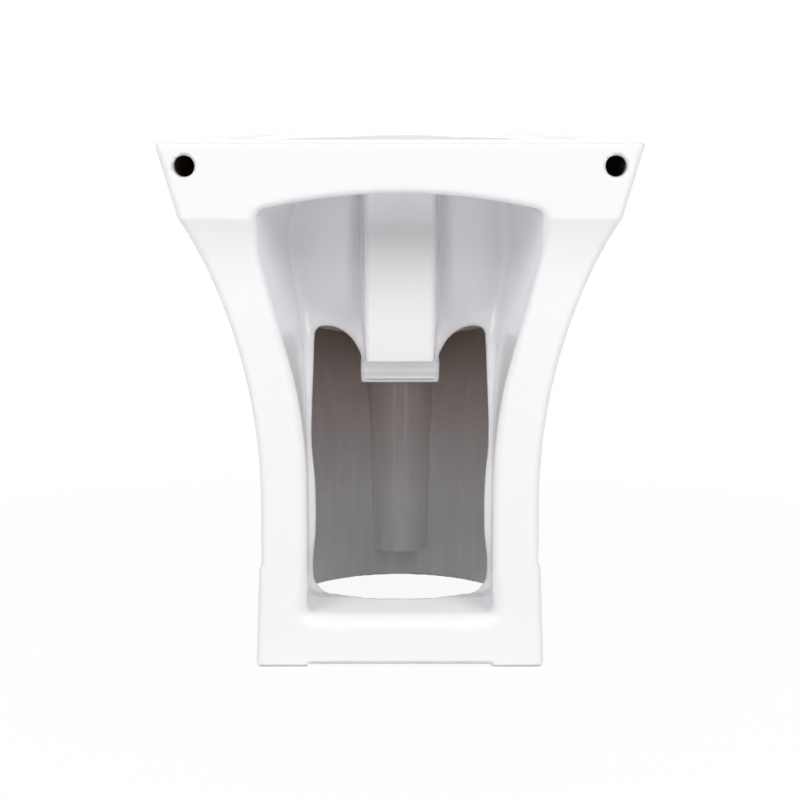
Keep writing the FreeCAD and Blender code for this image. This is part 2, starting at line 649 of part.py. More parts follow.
def click_cartridge():
    collar = ring(CARTRIDGE_BORE, CARTRIDGE_HEAD_RADIUS, HUB_TOP_Z, CARTRIDGE_TOP_Z)
    sleeve = ring(CARTRIDGE_BORE, CARTRIDGE_RADIUS, CARTRIDGE_FOOT_Z, CARTRIDGE_TOP_Z)
    floor_top = CARTRIDGE_FOOT_Z + CARTRIDGE_FLOOR
    floor = upright(0, DRAIN_DEPTH, CARTRIDGE_FOOT_Z, floor_top, CARTRIDGE_RADIUS)
    return one_solid(sleeve.fuse([collar, floor]))


def click_spring():
    """Compression spring between the cartridge floor and the stem, as one wound wire."""
    radius = CARTRIDGE_BORE - SPRING_CLEARANCE - SPRING_WIRE
    low = CARTRIDGE_FOOT_Z + CARTRIDGE_FLOOR + SPRING_WIRE
    high = STEM_FOOT_Z - SPRING_WIRE
    rise = (high - low) / (4 * SPRING_TURNS)

    def on_coil(quarter):
        angle = math.pi / 2 * quarter
        return at(radius * math.cos(angle), DRAIN_DEPTH - radius * math.sin(angle), low + rise * quarter)

    quarters = [arc(on_coil(i), on_coil(i + 0.5), on_coil(i + 1)) for i in range(4 * SPRING_TURNS)]
    path = Part.Wire(quarters)
    start = FreeCAD.Vector(0, 1, 0)
    section = Part.Wire(Part.Circle(on_coil(0), start, SPRING_WIRE).toShape())
    return path.makePipeShell([section], True, False)


def plug_stem():
    return upright(0, DRAIN_DEPTH, STEM_FOOT_Z, PLUG_Z, STEM_RADIUS)


def plug_cap():
    """Shallow domed cap with a rounded edge."""
    turn = PLUG_EDGE / 2
    rim = PLUG_RADIUS - turn
    edge_z = PLUG_Z + PLUG_EDGE
    top_z = edge_z + PLUG_CROWN
    dome = arc_radius(rim, PLUG_CROWN)
    half_way = rim / 2
    half_way_z = top_z - dome + math.sqrt(dome ** 2 - half_way ** 2)
    foot = line(at(0, DRAIN_DEPTH, PLUG_Z), at(rim, DRAIN_DEPTH, PLUG_Z))
    edge = arc(at(rim, DRAIN_DEPTH, PLUG_Z), at(PLUG_RADIUS, DRAIN_DEPTH, PLUG_Z + turn),
               at(rim, DRAIN_DEPTH, edge_z))
    crown = arc(at(rim, DRAIN_DEPTH, edge_z), at(half_way, DRAIN_DEPTH, half_way_z),
                at(0, DRAIN_DEPTH, top_z))
    axis = line(at(0, DRAIN_DEPTH, top_z), at(0, DRAIN_DEPTH, PLUG_Z))
    face = Part.Face(Part.Wire([foot, edge, crown, axis]))
    return face.revolve(at(0, DRAIN_DEPTH, 0), FreeCAD.Vector(0, 0, 1), FULL_TURN)


def plug_seal():
    return ring(PLUG_NECK_RADIUS, PLUG_SEAL_RADIUS, PLUG_SEAL_Z, PLUG_Z)


def floor_bracket():
    """Steel angle behind the side wall, with a floor hole and a hole for the side screw."""
    wall = INNER_HALF
    depth_from = FIX_DEPTH - BRACKET_WIDTH / 2
    foot_inner = wall - BRACKET_FOOT
    upstand = Part.makeBox(BRACKET_THICKNESS, BRACKET_WIDTH, BRACKET_HEIGHT,
                           at(wall - BRACKET_THICKNESS, depth_from + BRACKET_WIDTH, 0))
    foot = Part.makeBox(BRACKET_FOOT, BRACKET_WIDTH, BRACKET_THICKNESS,
                        at(foot_inner, depth_from + BRACKET_WIDTH, 0))
    floor_hole = upright(wall - FLOOR_HOLE_INSET, FIX_DEPTH, -CUT_PAST, BRACKET_THICKNESS + CUT_PAST,
                         FLOOR_HOLE_RADIUS)
    screw_hole = sideways(wall - BRACKET_THICKNESS - CUT_PAST, wall + CUT_PAST, FIX_DEPTH, FIX_Z,
                          SCREW_RADIUS + LOOSE_FIT)
    return one_solid(upstand.fuse(foot).cut([floor_hole, screw_hole]))


def bracket_nut():
    face_x = INNER_HALF - BRACKET_THICKNESS - NUT_THICKNESS
    nut = Part.makeBox(NUT_THICKNESS, NUT_SIDE, NUT_SIDE,
                       at(face_x, FIX_DEPTH + NUT_SIDE / 2, FIX_Z - NUT_SIDE / 2))
    return nut.cut(sideways(face_x - CUT_PAST, face_x + NUT_THICKNESS + CUT_PAST, FIX_DEPTH, FIX_Z,
                            SCREW_RADIUS + LOOSE_FIT))


def head_x():
    return counterbore_x() + SLEEVE_FLANGE


def side_sleeve():
    flange = sideways(counterbore_x(), head_x(), FIX_DEPTH, FIX_Z, SLEEVE_FLANGE_RADIUS)
    tube = sideways(INNER_HALF, counterbore_x(), FIX_DEPTH, FIX_Z, SLEEVE_RADIUS)
    bore = sideways(INNER_HALF - CUT_PAST, head_x() + CUT_PAST, FIX_DEPTH, FIX_Z, SCREW_RADIUS + LOOSE_FIT)
    return one_solid(flange.fuse(tube).cut(bore))


def side_screw():
    tip = INNER_HALF - BRACKET_THICKNESS - NUT_THICKNESS - SCREW_PAST_NUT
    shank = sideways(tip, head_x(), FIX_DEPTH, FIX_Z, SCREW_RADIUS)
    head = sideways(head_x(), head_x() + SCREW_HEAD_HEIGHT, FIX_DEPTH, FIX_Z, SCREW_HEAD_RADIUS)
    return one_solid(shank.fuse(head))


def screw_cap():
    inside = head_x() + SCREW_HEAD_HEIGHT + HEAD_ROOM
    rim = sideways(head_x(), inside, FIX_DEPTH, FIX_Z, CAP_RADIUS)
    lid = Part.makeCone(CAP_RADIUS, CAP_RADIUS - CAP_CROWN, CAP_WALL, at(inside, FIX_DEPTH, FIX_Z),
                        FreeCAD.Vector(1, 0, 0))
    hollow = sideways(head_x() - CUT_PAST, inside, FIX_DEPTH, FIX_Z, CAP_RADIUS - CAP_WALL)
    return one_solid(rim.fuse(lid).cut(hollow))


def export(name, shape):
    shape.exportStep("parts/" + name + ".step")


def main():
    os.makedirs("parts", exist_ok=True)
    single = [pedestal_casting, rim_deck, bowl_casting, overflow_duct, overflow_ring, waste_body,
              flange_seal, cone_seal, backnut, click_cartridge, click_spring, plug_stem, plug_cap,
              plug_seal]
    for make in single:
        export(make.__name__, make())
    for make in [floor_bracket, bracket_nut, side_sleeve, side_screw, screw_cap]:
        right = make()
        export(make.__name__ + "_right", right)
        export(make.__name__ + "_left", mirrored(right))


main()
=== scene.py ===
import functools
import itertools
import math

import bpy
import numpy as np
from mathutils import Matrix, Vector


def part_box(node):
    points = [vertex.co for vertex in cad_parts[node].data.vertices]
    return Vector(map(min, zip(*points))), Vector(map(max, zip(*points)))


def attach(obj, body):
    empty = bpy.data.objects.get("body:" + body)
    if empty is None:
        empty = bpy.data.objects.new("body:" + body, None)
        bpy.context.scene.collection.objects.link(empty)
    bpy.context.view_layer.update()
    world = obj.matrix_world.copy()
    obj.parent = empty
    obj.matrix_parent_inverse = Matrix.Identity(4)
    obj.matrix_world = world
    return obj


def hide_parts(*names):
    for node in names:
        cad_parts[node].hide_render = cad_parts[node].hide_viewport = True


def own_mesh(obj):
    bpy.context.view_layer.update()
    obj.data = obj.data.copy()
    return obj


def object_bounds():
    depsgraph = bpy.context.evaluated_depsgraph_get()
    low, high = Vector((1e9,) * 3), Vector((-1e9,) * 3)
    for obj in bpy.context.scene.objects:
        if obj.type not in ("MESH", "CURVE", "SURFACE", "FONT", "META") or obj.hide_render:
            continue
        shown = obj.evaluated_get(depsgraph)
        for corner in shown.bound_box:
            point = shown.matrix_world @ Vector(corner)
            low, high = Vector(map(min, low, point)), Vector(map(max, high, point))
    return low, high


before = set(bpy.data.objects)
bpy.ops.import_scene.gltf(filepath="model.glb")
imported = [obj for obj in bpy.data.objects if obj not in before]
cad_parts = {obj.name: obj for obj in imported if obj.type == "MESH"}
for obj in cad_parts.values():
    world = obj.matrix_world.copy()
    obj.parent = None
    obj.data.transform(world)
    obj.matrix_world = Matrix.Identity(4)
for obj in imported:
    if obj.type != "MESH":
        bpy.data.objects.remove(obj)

bl_info = {
    "name": "Floor-standing bidet",
    "version": (1, 0, 0),
    "blender": (4, 5, 0),
    "location": "3D View > Sidebar > Bidet",
    "description": "Glazed china body, fittings and studio for a floor-standing bidet",
    "category": "Object",
}

CAD_BOX = [list(corner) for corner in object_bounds()]
BACK_Y = CAD_BOX[1][1]

# Walls and rounded edges of the china, in metres
WALL = 0.010
RIM_WALL = 0.008
TOP_SKIN = 0.009
RIM_EDGE = 0.0045
BASIN_EDGE = 0.007
CROWN_EDGE = 0.005
LEG_EDGE = 0.008
SILL_EDGE = 0.012
WINDOW_HEAD_EDGE = 0.006
LIP_EDGE = 0.0038
VALLEY = 0.007
HIDDEN_FILLET = 0.012
JOIN_FILLET = 0.003
WALL_EDGE = 0.003
HOLLOW_CORNER = 0.006
HOLLOW_TOP_CORNER = 0.003
HOLE_EDGE = 0.0012
SEAT_EDGE = 0.0008
FOOT_EDGE = 0.0015
CROWN_EDGE_Z = 0.30
LEG_EDGE_Z = 0.20
SILL_EDGE_START_Z = 0.075
SILL_EDGE_FULL_Z = 0.045
LIP_EDGE_Z = 0.20
WINDOW_HEAD_EDGE_Z = 0.24

# Rim band, legs and plinth
BAND_FOOT_Z = 0.344
BAND_FOOT_HALF = 0.1645
BAND_FRONT_INSET = 0.016
BACK_CORNER = 0.005
UNDERSIDE_REACH = 0.005
UNDERSIDE_EDGE = 0.0015
WAIST_Z = 0.130
WAIST_HALF = 0.1057
WAIST_FRONT = 0.331
WAIST_SIDE = 0.207
RIM_SIDE = 0.095
LEG_SETBACK = 0.012
COVE_START_Z = 0.290
PLINTH_TOP_Z = 0.076
PLINTH_CHAMFER = 0.004
PLINTH_FADE = 0.050
PLINTH_STEP = 0.0019
PLINTH_SPREAD = 0.0027
FOOT_RELIEF = 0.0023
FOOT_RELIEF_EDGE = 0.001

# Recess between the legs, with its apron, its windows and the opening to the floor
SILL_Z = 0.046
SILL_CORNER = 0.008
SILL_SLOPE = 0.20
CROWN_RISE = 0.013
CROWN_CORNER = 0.006
CHAMBER_CORNER = 0.004
RECESS_HEIGHTS = [0.349, 0.320, 0.290, 0.253, 0.211, 0.172, 0.110, 0.044]
RECESS_BACK_HALVES = [0.1075, 0.1083, 0.1014, 0.0904, 0.0784, 0.0717, 0.0696, 0.0712]
RECESS_APRON_HALVES = [0.0798, 0.0842, 0.0826, 0.0783, 0.0748, 0.0733, 0.0725, 0.0720]
APRON_DEPTH = 0.118
APRON_HEIGHTS = [0.349, 0.300, 0.275, 0.245, 0.220, 0.190, 0.150, 0.100, 0.044]
APRON_DEPTHS = [0.118, 0.118, 0.117, 0.110, 0.098, 0.085, 0.078, 0.075, 0.075]
APRON_CORNER = 0.007
WINDOW_HALF = 0.070
WINDOW_TOP_Z = 0.2515
LIP_HEIGHTS = [0.243, 0.1915, 0.165, 0.1325, 0.093, 0.0615, 0.0535, 0.048, 0.042]
LIP_HALVES = [0.0679, 0.0696, 0.0699, 0.0672, 0.0668, 0.0691, 0.0679, 0.0651, 0.0610]
WINDOW_OUTER_ROUND = 0.007
WINDOW_CORNER = 0.004
WINDOW_REACH = 0.015
ARCH_GAP = 0.001
ARCH_HALF = 0.031
ARCH_DROP = 0.041
TIE_MIDDLE = 0.051
TIE_SIDE = 0.053
OPENING_HALF = 0.0705
OPENING_CORNER = 0.058
OPENING_EDGE = 0.004

# Rib inside the front wall
RIB_FOOT_Z = 0.027
RIB_TOP_Z = 0.236
RIB_FOOT_RADIUS = 0.0235
RIB_TOP_RADIUS = 0.0300
RIB_DEPTH = 0.320
RIB_GROOVE = 0.0018
RIB_GROOVE_HALF = 0.003
RIB_FILLET = 0.003
RIB_FOOT_EDGE = 0.0025

# Holes
VENT_RADIUS = 0.008
VENT_X = 0.159
VENT_Z = 0.382
VENT_DEPTH = 0.014
TAP_RADIUS = 0.0175
TAP_DEPTH = 0.045
TAP_PAD_RADIUS = 0.028
TAP_PAD = 0.007
TAP_HOLE_FOOT_Z = 0.37
TAP_EDGE = 0.002
SIDE_HOLE_DEPTH = 0.138
SIDE_HOLE_Z = 0.030
SIDE_HOLE_RADIUS = 0.0057
SIDE_HOLE_X = 0.08
SIDE_SEAT_RADIUS = 0.0093
SIDE_SEAT_X = 0.1052

# Basin and outlet
BASIN_BACK = 0.107
BASIN_MIDDLE = 0.180
BASIN_FRONT_LAND = 0.038
BASIN_HALF = 0.141
BASIN_FLOOR_Z = 0.246
BASIN_WALL = 0.010
BASIN_FLOOR_WALL = 0.006
BASIN_SQUARE = 2.65
BASIN_ROUND = 2.0
BASIN_LOWEST = 0.97
BASIN_FLOOR_ROUND = 0.008
BACK_FALL = 6.0
BACK_ROUND = 0.5
FRONT_FALL = 1.25
FRONT_ROUND = 0.9
SIDE_FALL = 2.6
SIDE_ROUND = 0.65
DRAIN_DEPTH = 0.225
DRAIN_RADIUS = 0.0343
FLANGE_RADIUS = 0.0318
FLANGE_SEAT_Z = 0.242
FLANGE_HOLE_TOP_Z = 0.3
BOSS_RADIUS = 0.033
BOSS_FOOT_Z = 0.216
BOSS_BORE = 0.0225
BORE_MIDDLE_Z = 0.23
BORE_HALF = 0.04
TAIL_RADIUS = 0.02095
THREAD_ENDS = 3

# Overflow
DUCT_HALF = 0.027
DUCT_DRAFT = 0.12
DUCT_DRAFT_START = 0.012
DUCT_DRAFT_PAST = 0.015
DUCT_DEPTH = 0.078
DUCT_CROWN = 0.009
DUCT_CROWN_Z = 0.290
DUCT_CROWN_TOP_Z = 0.335
DUCT_CROWN_HALF = 0.074
DUCT_GROOVE = 0.007
DUCT_GROOVE_HALF = 0.010
DUCT_FOOT_Z = 0.2075
DUCT_RUN = 0.032
DUCT_RUN_INSET = 0.003
DUCT_EDGE = 0.004
DUCT_FACE_EDGE = 0.0015
DUCT_FOOT_EDGE = 0.003
DUCT_UNDER_EDGE = 0.0015
DUCT_FILLET = 0.0025
DUCT_FACE_FOOT_Z = 0.226
DUCT_FOOT_HALF = 0.0312
DUCT_FOOT_DEPTH = 0.092
DUCT_FOOT_LEAN = 0.8
CHANNEL_HALF = 0.018
CHANNEL_BACK = 0.087
CHANNEL_FRONT = 0.0965
CHANNEL_LOW_Z = 0.232
CHANNEL_HIGH_Z = 0.376
OVERFLOW_Z = 0.364
OVERFLOW_RADIUS = 0.011
OVERFLOW_SPOT_RADIUS = 0.015
OVERFLOW_SPOT = 0.1085
OVERFLOW_SPOT_END = 0.13

# How a taper goes on past its ends, as shares of its length
TAPER_BEHIND = -0.3
TAPER_PAST = 1.2

# Fineness of the china's mesh
CELL = 0.003
TRIANGLES = 190000
GRID_MARGIN = 2.5
FILL_ROUNDS = 8
SLOPE_STEP = 0.0004
LEAST_SLOPE = 0.05
NORMAL_STEP = 0.0006
NORMALS_AGREE = 0.3
TINY = 1e-9
TINIEST = 1e-12

# Glaze: distances over which it gives way to the thinly glazed inside, and heights of the inside colours,
# which turn darker and warmer upwards as painted shade under the bowl
INSIDE_FADE = (-0.004, -0.001)
GLAZE_FADE = (0.002, 0.008)
DUCT_FADE = (0.001, 0.004)
CLAY_FOOT_Z = 0.01
CLAY_Z = 0.08
# Heights where the inside colour turns into painted shade under the bowl
CLAY_SHADE_Z = 0.18
UNDER_BOWL_SHADE_Z = 0.245
CLAY_ROUGHNESS = 0.1
# Stretch of the painted highlight streaks on the inside of the pedestal
SHEEN_STREAK_STRETCH = (1.0, 1.0, 0.07)
BARE_FULL_Z = 0.0007
BARE_END_Z = 0.0016

# Studio
AIM = (0.0, 0.2, 0.22)
KEY_PLACE = (0.0, 3.2, 2.7)
KEY_SIZE = (3.6, 2.2)
FAR_PLACE = (0.0, -2.4, 2.0)
FAR_SIZE = (2.4, 1.6)
BOX_PLACE = (2.1, 2.3, 2.3)
BOX_SIZE = (1.8, 2.0)
SENSOR_WIDTH = 36.0
FLOOR_REACH = 6.0
FLOOR_ROUGHNESS = 0.6
WHITE = (1.0, 1.0, 1.0, 1.0)
BLACK = (0.0, 0.0, 0.0, 1.0)


def union(a, b, r):
    """Two forms joined, with a hollow fillet of radius r between them."""
    return np.maximum(r, np.minimum(a, b)) - np.hypot(np.maximum(r - a, 0), np.maximum(r - b, 0))


def common(a, b, r):
    """What two forms share, with its edge rounded to radius r."""
    return np.minimum(-r, np.maximum(a, b)) + np.hypot(np.maximum(r + a, 0), np.maximum(r + b, 0))


def cut(a, b, r):
    """The first form less the second, with the edge rounded to radius r."""
    return common(a, -b, r)


def true_distance(form, x, d, z):
    """A form's value divided by its steepness, so that it is close to a distance near the surface."""
    e = SLOPE_STEP
    value = form(x, d, z)
    steep = ((form(x + e, d, z) - value) ** 2 + (form(x, d + e, z) - value) ** 2
             + (form(x, d, z + e) - value) ** 2)
    return value / np.maximum(np.sqrt(steep) / e, LEAST_SLOPE)


def hollow_flare(start, reach, rise, height):
    """Place of a hollow curve at a height: upright at its foot and one reach out at its top."""
    radius = (rise ** 2 + reach ** 2) / (2 * reach)
    height = np.clip(height, 0, rise)
    return start + radius - np.sqrt(np.maximum(radius ** 2 - height ** 2, 0))


def smooth_step(value, low, high):
    share = np.clip((value - low) / (high - low), 0, 1)
    return share * share * (3 - 2 * share)


def smooth_row(heights, values, z):
    """Values at heights, joined by a smooth curve and read at z."""
    order = np.argsort(heights)
    h = np.array(heights)[order]
    v = np.array(values)[order]
    slope = np.gradient(v, h)
    i = np.clip(np.searchsorted(h, z) - 1, 0, len(h) - 2)
    width = h[i + 1] - h[i]
    t = np.clip((z - h[i]) / width, 0, 1)
    keep = (1 + 2 * t) * (1 - t) ** 2 * v[i] + t * t * (3 - 2 * t) * v[i + 1]
    return keep + width * (t * (1 - t) ** 2 * slope[i] - t * t * (1 - t) * slope[i + 1])


class China:
    """The china body as one form: below zero inside, above zero outside.

    x is the distance from the middle plane, d the depth in front of the back and z the height.
    """

    def __init__(self, sizes):
        self.height = sizes.height
        self.length = sizes.length
        self.rim_half = sizes.rim_width / 2
        self.top_skin_z = self.height - TOP_SKIN
        self.band_front = self.length - BAND_FRONT_INSET

    def skin_level(self, z, chamfer):
        lift = z - WAIST_Z
        rise = BAND_FOOT_Z - WAIST_Z
        half = hollow_flare(WAIST_HALF, BAND_FOOT_HALF - WAIST_HALF, rise, lift)
        front = hollow_flare(WAIST_FRONT, self.band_front - WAIST_FRONT, rise, lift)
        share = (front - WAIST_FRONT) / (self.band_front - WAIST_FRONT)
        side = WAIST_SIDE + share * (RIM_SIDE - WAIST_SIDE)
        band = np.clip((z - BAND_FOOT_Z) / (self.height - BAND_FOOT_Z), 0, TAPER_PAST)
        step = np.clip((PLINTH_TOP_Z + chamfer - z) / chamfer, 0, 1)
        spread = np.clip(1 - z / PLINTH_TOP_Z, 0, TAPER_PAST)
        foot = PLINTH_STEP * step + PLINTH_SPREAD * spread
        half = half + foot + band * (self.rim_half - BAND_FOOT_HALF)
        front = front + foot + band * (self.length - self.band_front)
        return half, side, front

    def skin_sides(self, x, d, z, chamfer):
        half, side, front = self.skin_level(z, chamfer)
        nose = np.maximum(d - side, 0) / (front - side)
        return (np.sqrt((x / half) ** 2 + nose ** 2) - 1) * half

    def rear(self, d, z):
        cove = hollow_flare(0, LEG_SETBACK, BAND_FOOT_Z - COVE_START_Z, z - COVE_START_Z)
        return LEG_SETBACK - cove - d

    def apron_depth(self, z):
        return smooth_row(APRON_HEIGHTS, APRON_DEPTHS, z)

    def recess_sides(self, x, d, z):
        share = np.clip(d / self.apron_depth(z), TAPER_BEHIND, TAPER_PAST)
        back = smooth_row(RECESS_HEIGHTS, RECESS_BACK_HALVES, z)
        apron = smooth_row(RECESS_HEIGHTS, RECESS_APRON_HALVES, z)
        return x - back - share * (apron - back)

    def recess(self, x, d, z):
        sides = true_distance(self.recess_sides, x, d, z)
        arch = RECESS_HEIGHTS[0] + CROWN_RISE * (1 - (x / RECESS_BACK_HALVES[0]) ** 2)
        form = common(sides, z - arch, CROWN_CORNER)
        sill = SILL_Z - SILL_SLOPE * np.maximum(TIE_MIDDLE - d, 0)
        form = common(form, sill - z, SILL_CORNER)
        apron = true_distance(lambda x, d, z: d - self.apron_depth(z), x, d, z)
        form = common(form, apron, APRON_CORNER)
        chamber = common(x - RECESS_APRON_HALVES[0], RIM_WALL - d, CHAMBER_CORNER)
        chamber = common(chamber, d - APRON_DEPTH, APRON_CORNER)
        chamber = np.maximum(chamber, z - self.top_skin_z)
        chamber = np.maximum(chamber, RECESS_HEIGHTS[0] - WALL - z)
        return union(form, chamber, JOIN_FILLET)

    def window_outline(self, x, d, z):
        lip = x - smooth_row(LIP_HEIGHTS, LIP_HALVES, z)
        below = z - WINDOW_TOP_Z
        arch = common(below * ARCH_HALF / ARCH_DROP, DUCT_HALF + ARCH_GAP - x, ARCH_HALF)
        beside = np.maximum(common(lip, below, WINDOW_OUTER_ROUND), arch)
        under = common(lip, z - DUCT_FACE_FOOT_Z + WALL, WINDOW_CORNER)
        return common(np.minimum(beside, under), SILL_Z - z, WINDOW_CORNER)

    def window(self, x, d, z):
        outline = true_distance(self.window_outline, x, d, z)
        return np.maximum(outline, np.abs(d - self.apron_depth(z) - WALL / 2) - WINDOW_REACH)

    def floor_opening(self, x, d, z):
        edge = TIE_MIDDLE + (TIE_SIDE - TIE_MIDDLE) * (x / WINDOW_HALF) ** 2
        form = common(x - OPENING_HALF, edge - d, OPENING_CORNER)
        form = np.maximum(form, d - APRON_DEPTH - 2 * WALL)
        return np.maximum(form, z - SILL_Z - WALL)

    def basin_sides(self, x, d, z, grow):
        floor_z = BASIN_FLOOR_Z - grow
        fall = np.clip((self.height - z) / (self.height - floor_z), 0, BASIN_LOWEST)
        to_back = (1 - fall ** BACK_FALL) ** BACK_ROUND
        to_front = (1 - fall ** FRONT_FALL) ** FRONT_ROUND
        to_side = (1 - fall ** SIDE_FALL) ** SIDE_ROUND
        drain = DRAIN_RADIUS + grow
        back = DRAIN_DEPTH - drain + to_back * (BASIN_BACK - grow - DRAIN_DEPTH + drain)
        rim_front = self.length - BASIN_FRONT_LAND + grow
        front = DRAIN_DEPTH + drain + to_front * (rim_front - DRAIN_DEPTH - drain)
        half = drain + to_side * (BASIN_HALF + grow - drain)
        middle = DRAIN_DEPTH + to_back * (BASIN_MIDDLE - DRAIN_DEPTH)
        behind = d < middle
        power = np.where(behind, BASIN_SQUARE, BASIN_ROUND)
        along = np.abs(d - middle) / np.where(behind, middle - back, front - middle)
        egg = ((x / half + TINY) ** power + (along + TINY) ** power) ** (1 / power)
        return (egg - 1) * half

    def basin(self, x, d, z, grow):
        sides = true_distance(lambda *at: self.basin_sides(*at, grow), x, d, z)
        floor_z = BASIN_FLOOR_Z - min(grow, BASIN_FLOOR_WALL)
        return common(sides, floor_z - z, BASIN_FLOOR_ROUND)

    def duct_sides(self, x, d, z):
        start_z = DUCT_FOOT_Z + DUCT_DRAFT_START
        draft = DUCT_DRAFT * smooth_step(z, start_z, WINDOW_TOP_Z + DUCT_DRAFT_PAST)
        return x - DUCT_HALF - draft * np.maximum(d - DUCT_DEPTH, 0)

    def duct(self, x, d, z):
        bend = (np.minimum(z, DUCT_CROWN_TOP_Z) - DUCT_CROWN_Z) / DUCT_CROWN_HALF
        crown = DUCT_DEPTH + DUCT_CROWN * bend ** 2
        face = common(true_distance(self.duct_sides, x, d, z), crown - d, DUCT_EDGE)
        face = common(face, DUCT_FACE_FOOT_Z - z, DUCT_FACE_EDGE)
        face = np.maximum(face, np.maximum(z - self.top_skin_z, d - APRON_DEPTH - WALL))
        lean = DUCT_FOOT_DEPTH + DUCT_FOOT_LEAN * (DUCT_FACE_FOOT_Z - z) - d
        foot = common(x - DUCT_FOOT_HALF, lean / math.hypot(1, DUCT_FOOT_LEAN), DUCT_FOOT_EDGE)
        foot = np.maximum(foot, np.maximum(d - APRON_DEPTH, z - DUCT_FACE_FOOT_Z))
        run = np.maximum(x - DUCT_HALF, np.maximum(DUCT_FOOT_DEPTH + WALL - d, d - DRAIN_DEPTH))
        run = np.maximum(run, np.abs(z - DUCT_FOOT_Z - DUCT_RUN / 2) - DUCT_RUN / 2 + DUCT_RUN_INSET)
        return np.minimum(face, common(np.minimum(foot, run), DUCT_FOOT_Z - z, DUCT_UNDER_EDGE))

    def channel(self, x, d, z):
        across = np.maximum(x - CHANNEL_HALF, np.maximum(CHANNEL_BACK - d, d - CHANNEL_FRONT))
        return np.maximum(across, np.maximum(CHANNEL_LOW_Z - z, z - CHANNEL_HIGH_Z))

    def rib(self, x, d, z):
        share = np.clip((z - RIB_FOOT_Z) / (RIB_TOP_Z - RIB_FOOT_Z), 0, 1)
        radius = RIB_FOOT_RADIUS + share * (RIB_TOP_RADIUS - RIB_FOOT_RADIUS)
        groove = RIB_GROOVE * np.exp(-(x / RIB_GROOVE_HALF) ** 2)
        form = common(np.hypot(x, d - RIB_DEPTH) - radius + groove, RIB_FOOT_Z - z, RIB_FOOT_EDGE)
        return np.maximum(form, z - RIB_TOP_Z)

    def upright(self, x, d, depth, radius):
        """A round upright bar."""
        return np.hypot(x, d - depth) - radius

    def skin(self, x, d, z, chamfer):
        """Outer face of the skin, whose flare runs out level under the rim band."""
        sides = functools.partial(self.skin_sides, chamfer=chamfer)
        lower = true_distance(sides, x, d, z - UNDERSIDE_REACH) - UNDERSIDE_REACH
        return common(true_distance(sides, x, d, z), lower, UNDERSIDE_EDGE)

    def hollow(self, x, d, z):
        wall = WALL - (WALL - RIM_WALL) * smooth_step(z, BAND_FOOT_Z, BAND_FOOT_Z + 2 * WALL)
        sides = np.maximum(self.skin(x, d, z, PLINTH_FADE) + wall, self.skin(x, d, z - WALL, PLINTH_FADE))
        inside = common(sides, self.rear(d, z) + WALL, HOLLOW_CORNER)
        return common(inside, z - self.top_skin_z, HOLLOW_TOP_CORNER)

    def body(self, x, d, z):
        """Whole china body."""
        x = np.abs(x)
        outside = common(self.skin(x, d, z, PLINTH_CHAMFER), self.rear(d, z), BACK_CORNER)
        recess = self.recess(x, d, z)
        form = self.pedestal(x, d, z, outside, recess)
        form = self.with_bowl(form, x, d, z, outside, recess)
        form = self.with_holes(form, x, d, z)
        return common(form, -z, FOOT_EDGE)

    def pedestal(self, x, d, z, outside, recess):
        """Skin, recess, windows, tie bar and rib."""
        form = cut(outside, self.hollow(x, d, z), WALL_EDGE)
        form = np.minimum(form, np.maximum(outside, recess - WALL))
        form = union(form, np.maximum(self.rib(x, d, z), outside), RIB_FILLET)
        edge = CROWN_EDGE + (LEG_EDGE - CROWN_EDGE) * smooth_step(z, CROWN_EDGE_Z, LEG_EDGE_Z)
        edge = edge + (SILL_EDGE - LEG_EDGE) * smooth_step(z, SILL_EDGE_START_Z, SILL_EDGE_FULL_Z)
        form = cut(form, recess, edge)
        edge = LIP_EDGE + (WINDOW_HEAD_EDGE - LIP_EDGE) * smooth_step(z, LIP_EDGE_Z, WINDOW_HEAD_EDGE_Z)
        form = cut(form, self.window(x, d, z), edge)
        return cut(form, self.floor_opening(x, d, z), OPENING_EDGE)

    def with_bowl(self, form, x, d, z, outside, recess):
        """The pedestal joined to the bowl, the tap hole's pad, the outlet boss and the duct."""
        fillet = VALLEY + (HIDDEN_FILLET - VALLEY) * smooth_step(recess, 0.0, WALL)
        groove = DUCT_GROOVE * np.exp(-((x - DUCT_HALF) / DUCT_GROOVE_HALF) ** 2)
        form = union(form, np.maximum(self.basin(x, d - groove, z, BASIN_WALL), outside), fillet)
        pad = np.maximum(self.upright(x, d, TAP_DEPTH, TAP_PAD_RADIUS), self.top_skin_z - TAP_PAD - z)
        form = union(form, np.maximum(pad, outside), JOIN_FILLET)
        boss = np.maximum(self.upright(x, d, DRAIN_DEPTH, BOSS_RADIUS), z - BASIN_FLOOR_Z)
        form = union(form, np.maximum(boss, BOSS_FOOT_Z - z), JOIN_FILLET)
        form = union(form, self.duct(x, d, z), DUCT_FILLET)
        form = common(form, z - self.height, RIM_EDGE)
        return cut(form, self.basin(x, d, z, 0.0), BASIN_EDGE)

